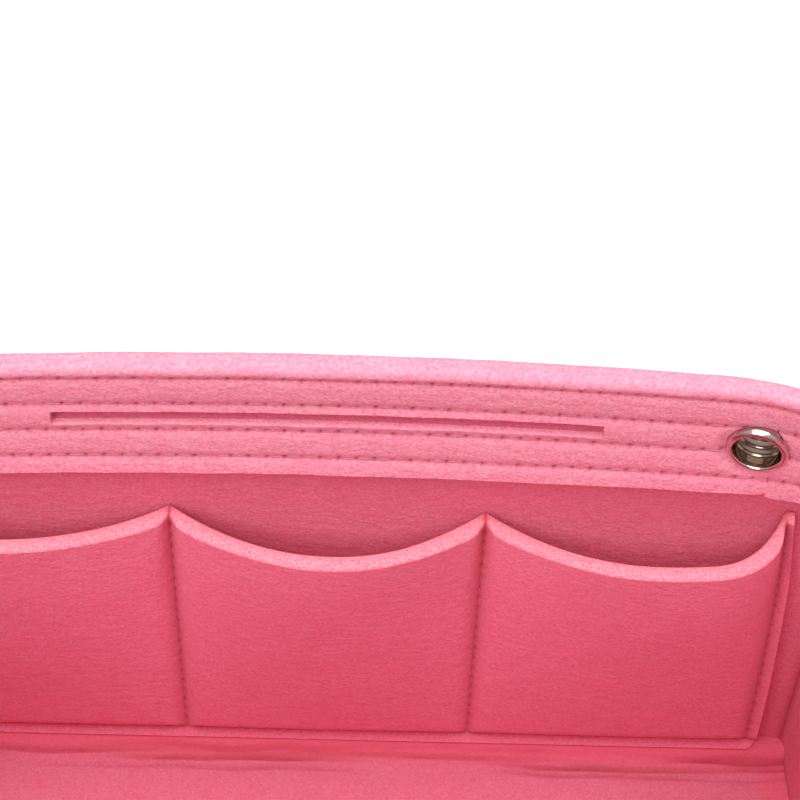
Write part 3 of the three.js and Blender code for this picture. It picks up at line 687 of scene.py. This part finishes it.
def plate_block(half_length, front, back, corner, foot, felt, paler, shift):
    """A flat felt plate with rounded corners and paler edges, lifted and folded at each place by shift(x, y)."""
    us = spread(-1, 1, 240)
    edge = [0, 0.0003, 0.0008, 0.0016, 0.0026, 0.004, 0.006]
    inset = max(corner, edge[-1] + 0.001)
    fold = min(0.016, (back - front) / 3)
    vs = [front + reach for reach in edge] + spread(front + inset, back - fold, 40)
    vs += spread(back - fold, back - edge[3], 48)[1:] + [back - reach for reach in reversed(edge[:3])]

    def place(u, v, t):
        into = min(max(corner - min(v - front, back - v), 0.0), corner)
        x = u * (half_length - corner + math.sqrt(max(corner * corner - into * into, 0.0)))
        cut = 1.0 if abs(u) > 0.9999 or v in (vs[0], vs[-1]) else 0.0
        swell = 0.0003 * crown(t) if cut else 0.0
        x += math.copysign(swell, u) if abs(u) > 0.9999 else 0.0
        y = v + (swell if v == vs[-1] else -swell if v == vs[0] else 0.0)
        lift, wrinkle, fold = shift(x, v)
        point = Vector((x, y, foot + t * (felt - WRINKLE_DEPTH * wrinkle) + lift))
        # The shaded fold is painted shade where the pad runs up the walls; the wrinkles' valleys get painted shade
        # through the shaded-crease colour.
        return point, max(cut * paler, fold), min(0.55 * wrinkle, 1.0)

    return felt_block(us, vs, (0.2, 0.8), place)


def stitch(bm, middle, along, out, half_length, radius):
    """One stitch: a short strand that dips into the felt at its two ends."""
    along = along.normalized()
    across = out.cross(along).normalized()
    out = along.cross(across)
    turn = Matrix((across, out, along)).transposed().to_4x4()
    size = Matrix.Diagonal((radius, radius, half_length, 1))
    place = Matrix.Translation(middle) @ turn @ size
    bmesh.ops.create_uvsphere(bm, u_segments=8, v_segments=6, radius=1, matrix=place)


def stitch_line(bm, form, path, start, stop, sunk=SUNK):
    """Stitches along path(distance), which gives points on the felt and the way out of it, between needle holes."""
    pitch, radius = form.stitches["pitch"], form.stitches["thread"] / 2
    first, last = math.ceil(start / pitch - 1e-6), math.floor(stop / pitch + 1e-6)
    for hole in range(first, last):
        middle = (hole + 0.5) * pitch
        point, out = path(middle)
        along = path(middle + pitch / 4)[0] - path(middle - pitch / 4)[0]
        stitch(bm, point - out * radius * sunk, along, out, pitch * 0.46, radius)


def hem_stitches(form, row, face, walls, keep):
    """The stitches of one row on one face of the band's pieces."""
    height = form.rows[row]
    reference = form.rows[-1]
    side = FACES[face]
    bm = bmesh.new()
    for wall in walls:
        start, stop = band_span(form, wall, reference)
        first, last = band_span(form, wall, height)

        def path(distance):
            along = mix(first, last, distance / (stop - start))
            reach = band_reach(form, height)
            point = form.on_wall(wall, along, height, form.wall_middle + side * reach)
            beyond = form.on_wall(wall, along, height, form.wall_middle + side * (reach + STEP))
            return point, (beyond - point).normalized()

        pitch = form.stitches["pitch"]
        for hole in range(math.floor((stop - start) / pitch + 1e-6)):
            if keep(wall, mix(first, last, (hole + 0.5) * pitch / (stop - start))):
                stitch_line(bm, form, path, hole * pitch, (hole + 1) * pitch, HEM_SUNK)
    return bm


def pocket_stitches(form, wall, face):
    """The stitches of a row of pockets: the bottom seam and the upright seams."""
    pockets = form.pockets
    side = FACES[face]
    felt = pockets["felt"] * (1 - pockets["pinch"]) - pockets["groove"]
    out = -(pockets["gap"] + felt) if side < 0 else form.box["wall_felt"]
    sunk = POCKET_SUNK if side < 0 else 0.0
    bm = bmesh.new()

    def way_out(along, height):
        reach = out + (wall_sway(form, wall, along, height) if side > 0 else 0)
        point = form.on_wall(wall, along, height, reach)
        return point, (form.on_wall(wall, along, height, reach + side * STEP) - point).normalized()

    def bottom(distance):
        return way_out(distance - form.pocket_half, form.pocket_seam)

    stitch_line(bm, form, bottom, 0, 2 * form.pocket_half, sunk)
    for seam in spread(-form.pocket_half, form.pocket_half, pockets["count"]):
        top = pocket_column(form, seam)[2] - form.stitches["thread"]

        def upright(distance):
            height = form.pocket_seam + distance
            return way_out(leaned_along(form, seam, height), height)

        stitch_line(bm, form, upright, 0, top - form.pocket_seam, sunk)
    return bm


def corner_stitches(form, wall, side):
    """The stitches beside one corner's seam edges."""
    beside = form.box["wall_felt"] + 0.0012
    start, stop = form.seam_foot + 0.003, form.seam_top - 0.003
    bm = bmesh.new()

    def path(distance):
        height = start + distance
        along = side * (form.half(wall, height) - form.box["clearance"] / 2 - beside + 0.0003)
        point = form.on_wall(wall, along, height, form.seam_line)
        away = form.on_wall(wall, along - side * STEP, height, form.seam_line)
        return point, (away - point).normalized()

    stitch_line(bm, form, path, 0, stop - start)
    return bm


def base_stitches(form):
    """The stitches through the walls' turned-out feet, all the way round."""
    height = form.flange_top + 0.0002
    lap = 4 * form.quarter(height)
    bm = bmesh.new()

    def path(distance):
        return form.on_wall(FRONT, distance, height, form.seam_line), Vector((0, 0, 1))

    stitch_line(bm, form, path, 0, lap)
    return bm


def turned_metal(profile, middle, axis, name, shade_radius):
    """A closed ring turned round an axis from a profile of distances from the axis and distances along it. It is
    marked as darkened within a radius and at its outer edge."""
    bm = bmesh.new()
    verts = [bm.verts.new((radius, 0, along)) for radius, along in profile]
    edges = [bm.edges.new((a, b)) for a, b in zip(verts, verts[1:] + verts[:1])]
    bmesh.ops.spin(
        bm, geom=verts + edges, cent=(0, 0, 0), axis=(0, 0, 1), angle=2 * math.pi, steps=72, use_merge=True
    )
    bmesh.ops.remove_doubles(bm, verts=bm.verts[:], dist=1e-7)
    bmesh.ops.recalc_face_normals(bm, faces=bm.faces[:])
    outer = max(radius for radius, along in profile)
    painted_shade_layer = bm.verts.layers.float.new("smoke")
    for vert in bm.verts:
        radius = vert.co.xy.length
        vert[painted_shade_layer] = 1.0 if radius < shade_radius else 0.8 * ease(radius, outer - 0.0003, outer)
    turn = axis.to_track_quat("Z", "Y").to_matrix().to_4x4()
    bmesh.ops.transform(bm, matrix=Matrix.Translation(middle) @ turn, verts=bm.verts[:])
    return to_mesh(bm, name, sharp=40)


def eyelet_profiles(form):
    """The profiles of an eyelet and of the washer behind it, along the axis out of the felt."""
    eyelets, clearance = form.eyelets, form.box["clearance"]
    hole, lip = eyelets["hole"] / 2, eyelets["lip"]
    seat, washer_seat = -form.flange_seat, form.flange_seat
    lip_seat = washer_seat + eyelets["washer_rise"] + clearance

    def roll(at, way):
        crest, rise = hole + 0.6 * lip, eyelets["lip_rise"]
        inner, outer = [], []
        for turn in spread(0, math.pi / 2, 9):
            sine, cosine = math.sin(turn), math.cos(turn)
            inner.append((crest - (crest - hole) * cosine, at + way * rise * (0.6 + 0.4 * sine)))
            outer.append((crest + (hole + 2 * lip - crest) * sine, at + way * rise * cosine))
        return inner + outer[1:]

    inside = []
    for along in spread(lip_seat, seat, 60)[1:-1]:
        part = (lip_seat - along) / (lip_seat - seat) * (eyelets["beads"] + 1)
        ring = math.exp(-(((part - round(part)) / 0.16) ** 2)) if 0.5 < part < eyelets["beads"] + 0.5 else 0.0
        inside.append((hole - eyelets["bead"] * ring, along))
    barrel = [(form.barrel, seat), (form.barrel, lip_seat)]
    eyelet = roll(seat, -1) + barrel + roll(lip_seat, 1)[::-1] + inside
    inner = form.barrel + clearance
    edge = inner + eyelets["washer_rim"]
    rise = eyelets["washer_rise"]
    turns = spread(0, math.pi / 2, 8)
    dome = [(edge - rise * (1 - math.cos(turn)), washer_seat + rise * math.sin(turn)) for turn in turns]
    washer = [(inner, washer_seat)] + dome + [(inner, washer_seat + rise)]
    return eyelet, washer


def shader(name):
    """A new material with its nodes, its output and its surface shader."""
    material = bpy.data.materials.new(name)
    material.use_nodes = True
    nodes = material.node_tree.nodes
    return material, nodes, material.node_tree.links, nodes["Principled BSDF"]


def set_inputs(node, values):
    for name, value in values.items():
        node.inputs[name].default_value = value


def attribute(nodes, name):
    """A value that a piece's points carry."""
    node = nodes.new("ShaderNodeAttribute")
    node.attribute_name = name
    return node.outputs["Fac"]


def clouds(nodes, links, scale, detail):
    """Noise in a piece's own coordinates."""
    place, node = nodes.new("ShaderNodeTexCoord"), nodes.new("ShaderNodeTexNoise")
    set_inputs(node, {"Scale": scale, "Detail": detail})
    links.new(place.outputs["Object"], node.inputs["Vector"])
    return node.outputs["Fac"]


def map_range(nodes, links, value, limits):
    node = nodes.new("ShaderNodeMapRange")
    set_inputs(node, limits)
    links.new(value, node.inputs["Value"])
    return node.outputs["Result"]


def fibrous(nodes, links, surface, grain, strength, distance, size=1.0):
    """The felt grain, which also roughens the surface."""
    fibres, bump = nodes.new("ShaderNodeGroup"), nodes.new("ShaderNodeBump")
    fibres.node_tree = grain
    set_inputs(fibres, {"Fibre Size": size})
    set_inputs(bump, {"Strength": strength, "Distance": distance})
    links.new(fibres.outputs["Height"], bump.inputs["Height"])
    links.new(bump.outputs["Normal"], surface.inputs["Normal"])
    return fibres


def felt_grain_group():
    """Felt seen close: a mottle between the fibres and their depth, and matted fibres lying every way."""
    group = bpy.data.node_groups.new("Felt Grain", "ShaderNodeTree")
    sockets = group.interface
    sockets.new_socket("Fibre Size", in_out="INPUT", socket_type="NodeSocketFloat").default_value = 1.0
    for name in ("Mottle", "Granules", "Height"):
        sockets.new_socket(name, in_out="OUTPUT", socket_type="NodeSocketFloat")
    nodes, links = group.nodes, group.links
    given, put = nodes.new("NodeGroupInput"), nodes.new("NodeGroupOutput")
    place = nodes.new("ShaderNodeTexCoord")
    scale = nodes.new("ShaderNodeVectorMath")
    scale.operation = "SCALE"
    links.new(place.outputs["Object"], scale.inputs[0])
    links.new(given.outputs["Fibre Size"], scale.inputs["Scale"])

    def grain(size, detail, stretch=1, turn=(0, 0, 0)):
        mapping = nodes.new("ShaderNodeMapping")
        mapping.vector_type = "TEXTURE"
        set_inputs(mapping, {"Rotation": turn, "Scale": (stretch, 1, 1)})
        texture = nodes.new("ShaderNodeTexNoise")
        set_inputs(texture, {"Scale": size, "Detail": detail, "Roughness": 0.6})
        links.new(scale.outputs[0], mapping.inputs["Vector"])
        links.new(mapping.outputs["Vector"], texture.inputs["Vector"])
        return texture.outputs["Fac"]

    def combine(operation, first, second):
        node = nodes.new("ShaderNodeMath")
        node.operation = operation
        for socket, value in zip(node.inputs, (first, second)):
            if isinstance(value, (int, float)):
                socket.default_value = value
            else:
                links.new(value, socket)
        return node.outputs[0]

    lying = combine("MAXIMUM", grain(2600, 2, 4.5, (0.5, 0.7, 0.4)), grain(2600, 2, 4.5, (-0.4, -0.6, 0.9)))
    lying = combine("MAXIMUM", lying, grain(2600, 2, 4.5, (0.9, 0.2, 2.2)))
    specks = grain(1500, 3)
    patches = grain(160, 3)
    height = combine("ADD", combine("MULTIPLY", lying, 0.7), combine("MULTIPLY", specks, 0.5))
    height = combine("ADD", height, combine("MULTIPLY", grain(650, 2, 2.2, (0.1, 0.15, 0.1)), 0.9))
    mottle = combine("ADD", combine("MULTIPLY", lying, 0.75), combine("MULTIPLY", specks, 0.55))
    mottle = combine("ADD", mottle, combine("MULTIPLY", patches, 0.15))
    mottle = map_range(nodes, links, mottle, {"From Min": 0.66, "From Max": 0.98})
    granules = map_range(nodes, links, grain(2600, 4), {"From Min": 0.36, "From Max": 0.62})
    links.new(mottle, put.inputs["Mottle"])
    links.new(granules, put.inputs["Granules"])
    links.new(height, put.inputs["Height"])
    return group


def blend_colours(nodes, links, factor, first, second):
    """A blend of two colours, each a value or another node's output."""
    node = nodes.new("ShaderNodeMix")
    node.data_type = "RGBA"
    links.new(factor, node.inputs["Factor"])
    for socket, value in zip((node.inputs["A"], node.inputs["B"]), (first, second)):
        if isinstance(value, bpy.types.NodeSocket):
            links.new(value, socket)
        else:
            socket.default_value = (*value, 1)
    return node.outputs["Result"]


def felt_material(name, light, deep, edge, edge_deep, shaded_crease_colour, grain):
    """Matted felt: mottled, matt, a little fuzzy, paler where it is cut and deeper in its creases."""
    material, nodes, links, surface = shader(name)
    fibres = fibrous(nodes, links, surface, grain, 0.55, 0.0006)
    base = blend_colours(nodes, links, fibres.outputs["Mottle"], list(deep), list(light))
    cut_and_painted_light_colour = blend_colours(nodes, links, fibres.outputs["Granules"], list(edge_deep), list(edge))
    base = blend_colours(nodes, links, attribute(nodes, "cut_edge"), base, cut_and_painted_light_colour)
    base = blend_colours(nodes, links, attribute(nodes, "crease"), base, list(shaded_crease_colour))
    links.new(base, surface.inputs["Base Color"])
    set_inputs(surface, {
        "Roughness": 0.95, "Specular IOR Level": 0.15,
        "Sheen Weight": 0.16, "Sheen Roughness": 0.6, "Sheen Tint": (1.0, 0.6, 0.7, 1),
    })
    return material


def thread_material(finish, grain):
    """Matt spun thread."""
    material, nodes, links, surface = shader("rose_thread")
    fibres = fibrous(nodes, links, surface, grain, 0.4, 0.0002, 1.6)
    dark = [0.6 * part for part in finish.thread]
    base = blend_colours(nodes, links, fibres.outputs["Mottle"], dark, list(finish.thread))
    links.new(base, surface.inputs["Base Color"])
    set_inputs(surface, {"Roughness": 0.75})
    return material


def nickel_material(finish):
    """Polished nickel, faintly clouded by handling and darkened in its depth."""
    material, nodes, links, surface = shader("polished_nickel")
    haze = clouds(nodes, links, 500, 4)
    links.new(map_range(nodes, links, haze, {"To Min": 0.06, "To Max": 0.2}), surface.inputs["Roughness"])
    warm = [part * tint for part, tint in zip(finish.nickel, (0.92, 0.86, 0.8))]
    # Painted shade: the darker colour of the barrel's inside and of the outer edge where the flange meets the felt.
    dark = [part * tint for part, tint in zip(finish.nickel, (0.58, 0.47, 0.4))]
    bright = blend_colours(nodes, links, haze, warm, list(finish.nickel))
    base = blend_colours(nodes, links, attribute(nodes, "smoke"), bright, dark)
    links.new(base, surface.inputs["Base Color"])
    set_inputs(surface, {"Metallic": 1.0})
    return material


def floor_material(finish):
    """The studio's pale, barely clouded floor."""
    material, nodes, links, surface = shader("pale_floor")
    shade = [0.98 * part for part in finish.floor]
    base = blend_colours(nodes, links, clouds(nodes, links, 6, 2), shade, list(finish.floor))
    links.new(base, surface.inputs["Base Color"])
    set_inputs(surface, {"Roughness": 0.9})
    return material


def material_for(name):
    """The finish of that name, made the first time that a piece asks for it."""
    found = bpy.data.materials.get(name)
    if found:
        return found
    finish = bpy.context.scene.insert_finish
    grain = bpy.data.node_groups.get("Felt Grain") or felt_grain_group()
    if name == "rose_thread":
        return thread_material(finish, grain)
    if name == "polished_nickel":
        return nickel_material(finish)
    if name == "pale_floor":
        return floor_material(finish)
    faces = {
        "shaded_felt": (finish.wall, finish.wall_deep),
        "pale_felt": (finish.band, finish.band_deep),
        "floor_felt": (finish.pad, finish.pad_deep),
    }
    face = faces.get(name, (finish.felt, finish.felt_deep))
    # Edge colours. On the walls the marked places draw towards a brighter slot colour: painted light on the slot's
    # edges in the back wall, standing in for light that does not reach into it, and a paler tone on the seam edges. On
    # the pad they draw towards painted shade where it runs up the walls, and at its cut edges. Elsewhere they are the
    # felt's paler cut edges.
    edges = {
        "floor_felt": (finish.fold, finish.fold),
        "shaded_felt": (finish.coral, finish.coral_deep),
    }.get(name, (finish.cut, finish.cut_deep))
    return felt_material(name, *face, *edges, finish.crease, grain)


class INSERT_OT_walls(bpy.types.Operator):
    """Make the four felt walls with their turned-out seam edges"""

    bl_idname = "insert.walls"
    bl_label = "Walls"

    def execute(self, context):
        form = Form(context.scene)
        for wall in range(len(WALL_NAMES)):
            wall_piece(form, wall, material_for("shaded_felt"))
        return {"FINISHED"}


class INSERT_OT_base(bpy.types.Operator):
    """Make the felt base and the loose pad that lies on it"""

    bl_idname = "insert.base"
    bl_label = "Base and pad"

    def execute(self, context):
        form = Form(context.scene)
        box = form.box
        half_length = box["inner_length"] / 2 + form.seam_edge
        half_depth = box["inner_depth"] / 2 + form.seam_edge
        corner = box["base_corner"] + form.seam_edge

        def still(x, y):
            return 0, 0, 0

        plate = plate_block(half_length, -half_depth, half_depth, corner, 0, box["base_felt"], 1.0, still)
        base = new_object("base_panel_felt", to_mesh(plate, "base_panel_felt"), "insert",
                          material_for("pink_felt"), ["base_panel"])
        front = box["pad_gap"] - box["inner_depth"] / 2
        back = box["inner_depth"] / 2 - box["pad_gap"]
        half_pad = box["inner_length"] / 2 - box["pad_gap"]

        def crumple(x, y):
            """How far the pad is lifted, wrinkled and deepened in colour where it runs up the walls."""
            to_back, to_end = back - y, half_pad - abs(x)
            wrinkle = 0.0
            for line, (reach, depth) in enumerate(WRINKLES):
                sweep = 0.0011 * wander(x, line, 0.06, 3) + 0.0005 * wander(x, line, 0.014, 5)
                fade = ease(wander(x, line, 0.04, 8), -0.5, 0.4)
                wrinkle += depth * fade * math.exp(-(((to_back + sweep - reach) / WRINKLE_WIDTH) ** 2))
            up_back = PAD_RISE * (1 - ease(to_back, 0.0014, 0.0085)) * (1 + 0.08 * wander(x, 1, 0.06, 11))
            up_end = PAD_END_RISE * (1 - ease(to_end, -0.001, 0.0085)) * ease(y, -0.03, 0.035)
            soft = PAD_SWAY * wander(x, y, 0.03, 14) * ease(to_back, 0, 0.02)
            under = ease(abs(x), form.pocket_half - 0.006, form.pocket_half + 0.003)
            lift = math.hypot(up_back, up_end * mix(ease(to_back, 0, 0.006), 1, under)) + soft
            shade = max(1 - ease(to_back, 0.0035, 0.0078), 0.8 * (1 - ease(to_end, 0.001, 0.009)))
            return max(lift, 0.0), wrinkle, 0.7 * shade

        pad = plate_block(half_pad, front, back, box["base_corner"] / 2, form.wall_foot, box["pad_felt"], 0.5, crumple)
        piece = new_object("base_pad_felt", to_mesh(pad, "base_pad_felt"), "base_pad",
                           material_for("floor_felt"), ["base_pad"])
        return {"FINISHED"}


class INSERT_OT_bands(bpy.types.Operator):
    """Make the stitched band that is folded over the rim"""

    bl_idname = "insert.bands"
    bl_label = "Rim band"

    def execute(self, context):
        form = Form(context.scene)
        for wall in range(len(WALL_NAMES)):
            band_piece(form, wall, material_for("pale_felt"))
        return {"FINISHED"}


class INSERT_OT_pockets(bpy.types.Operator):
    """Make the gaping pocket panels on the two long walls"""

    bl_idname = "insert.pockets"
    bl_label = "Pockets"

    def execute(self, context):
        form = Form(context.scene)
        for wall in (BACK, FRONT):
            pocket_piece(form, wall, material_for("pink_felt"))
        return {"FINISHED"}


class INSERT_OT_stitches(bpy.types.Operator):
    """Sew the hem, the pockets, the corners and the base"""

    bl_idname = "insert.stitches"
    bl_label = "Stitches"

    def sew(self, node, bm):
        mesh = to_mesh(bm, f"{node}_stitches", sharp=180)
        new_object(f"{node}_stitches", mesh, "insert", material_for("rose_thread"), [node])

    def execute(self, context):
        form = Form(context.scene)
        stop = max(form.eyelet_edge, form.barrel + form.box["clearance"] + form.eyelets["washer_rim"])

        def clear_of_eyelets(height):
            """Whether a stitch at that height is kept, as a function of its wall and its place along it."""
            def keep(wall, along):
                quarter = form.quarter(height)
                lap = (wall * quarter + along + 2 * quarter) % (4 * quarter) - 2 * quarter
                gap = abs(abs(lap) - form.eyelet_along)
                return math.hypot(gap, height - form.slot_height) > stop + 0.0004
            return keep

        for row, height in enumerate(form.rows):
            keep = clear_of_eyelets(height)
            for face in FACES:
                runs = {"": range(len(WALL_NAMES))}
                if abs(height - form.slot_height) <= stop:
                    runs = {"_back": (BACK,), "_round": (RIGHT, FRONT, LEFT)}
                for run, walls in runs.items():
                    self.sew(f"hem_thread_{row + 1}_{face}{run}", hem_stitches(form, row, face, walls, keep))
        for wall in (BACK, FRONT):
            for face in FACES:
                self.sew(f"{WALL_NAMES[wall]}_pocket_thread_{face}", pocket_stitches(form, wall, face))
        for corner, wall, side in (("back_right", BACK, 1), ("back_left", BACK, -1),
                                   ("front_right", FRONT, -1), ("front_left", FRONT, 1)):
            self.sew(f"{corner}_corner_thread", corner_stitches(form, wall, side))
        self.sew("base_thread", base_stitches(form))
        return {"FINISHED"}


class INSERT_OT_eyelets(bpy.types.Operator):
    """Make the two polished eyelets and the washers behind them"""

    bl_idname = "insert.eyelets"
    bl_label = "Eyelets"

    def execute(self, context):
        form = Form(context.scene)
        for name, side in (("right", 1), ("left", -1)):
            for kind, profile in zip(("eyelet", "eyelet_washer"), eyelet_profiles(form)):
                middle, axis = form.eyelet_frames[side]
                # Painted shade inside the barrel, out to just past the hole.
                shade_radius = form.eyelets["hole"] / 2 + 0.00005
                mesh = turned_metal(profile, middle, axis, f"{name}_{kind}_metal", shade_radius)
                new_object(f"{name}_{kind}_metal", mesh, "insert", material_for("polished_nickel"),
                           [f"{name}_{kind}"])
        return {"FINISHED"}


class INSERT_OT_stage(bpy.types.Operator):
    """Set up the pale floor, the soft studio light and the camera"""

    bl_idname = "insert.stage"
    bl_label = "Studio"

    def lamp(self, name, place, target, size, power):
        light = bpy.data.lights.new(name, "AREA")
        light.shape = "DISK"
        light.size = size
        light.energy = power
        lamp = bpy.data.objects.new(name, light)
        lamp.location = place
        lamp.rotation_euler = (Vector(target) - Vector(place)).to_track_quat("-Z", "Y").to_euler()
        bpy.context.scene.collection.objects.link(lamp)

    def execute(self, context):
        scene = context.scene
        bm = bmesh.new()
        bmesh.ops.create_grid(bm, x_segments=8, y_segments=8, size=3)
        floor = bpy.data.objects.new("studio_floor", to_mesh(bm, "studio_floor"))
        floor.data.materials.append(material_for("pale_floor"))
        scene.collection.objects.link(floor)
        world = bpy.data.worlds.new("studio")
        world.use_nodes = True
        nodes, links = world.node_tree.nodes, world.node_tree.links
        toward = nodes.new("ShaderNodeTexCoord")
        parts = nodes.new("ShaderNodeSeparateXYZ")
        links.new(toward.outputs["Generated"], parts.inputs["Vector"])
        sky = map_range(nodes, links, parts.outputs["Z"], {"From Max": 0.75, "To Min": 0.32})
        links.new(sky, nodes["Background"].inputs["Color"])
        set_inputs(nodes["Background"], {"Strength": 0.6})
        scene.world = world
        scene.view_settings.view_transform = "Standard"
        for lamp in LAMPS:
            self.lamp(*lamp)
        yaw, pitch, roll = CAMERA_YAW, CAMERA_PITCH, CAMERA_ROLL
        ahead = Vector((math.sin(yaw) * math.cos(pitch), math.cos(yaw) * math.cos(pitch), -math.sin(pitch)))
        level = Vector((math.cos(yaw), -math.sin(yaw), 0))
        upright = level.cross(ahead)
        right = level * math.cos(roll) + upright * math.sin(roll)
        up = upright * math.cos(roll) - level * math.sin(roll)
        view = bpy.data.cameras.new("camera")
        view.lens = 85.4
        view.sensor_width = 36
        camera = bpy.data.objects.new("camera", view)
        turn = Matrix((right, up, -ahead)).transposed().to_4x4()
        camera.matrix_world = Matrix.Translation(CAMERA_PLACE) @ turn
        scene.collection.objects.link(camera)
        scene.camera = camera
        return {"FINISHED"}


OPERATORS = (
    INSERT_OT_stage,
    INSERT_OT_walls,
    INSERT_OT_base,
    INSERT_OT_bands,
    INSERT_OT_pockets,
    INSERT_OT_stitches,
    INSERT_OT_eyelets,
)


class INSERT_PT_sidebar(bpy.types.Panel):
    """The sizes, the finishes and the steps"""

    bl_idname = "INSERT_PT_sidebar"
    bl_label = "Purse Organizer Insert"
    bl_space_type = "VIEW_3D"
    bl_region_type = "UI"
    bl_category = "Insert"

    def draw(self, context):
        for name, group in GROUPS.items():
            column = self.layout.column(heading=group.__doc__)
            for size in group.__annotations__:
                column.prop(getattr(context.scene, name), size)
        for operator in OPERATORS:
            self.layout.operator(operator.bl_idname)


CLASSES = (*GROUPS.values(), *OPERATORS, INSERT_PT_sidebar)


def register():
    for item in CLASSES:
        bpy.utils.register_class(item)
    for name, group in GROUPS.items():
        setattr(bpy.types.Scene, name, PointerProperty(type=group))


def unregister():
    for name in GROUPS:
        delattr(bpy.types.Scene, name)
    for item in reversed(CLASSES):
        bpy.utils.unregister_class(item)


def main():
    register()
    bpy.ops.insert.stage()
    bpy.ops.insert.walls()
    bpy.ops.insert.base()
    bpy.ops.insert.bands()
    bpy.ops.insert.pockets()
    bpy.ops.insert.stitches()
    bpy.ops.insert.eyelets()


if __name__ == "__main__":
    main()
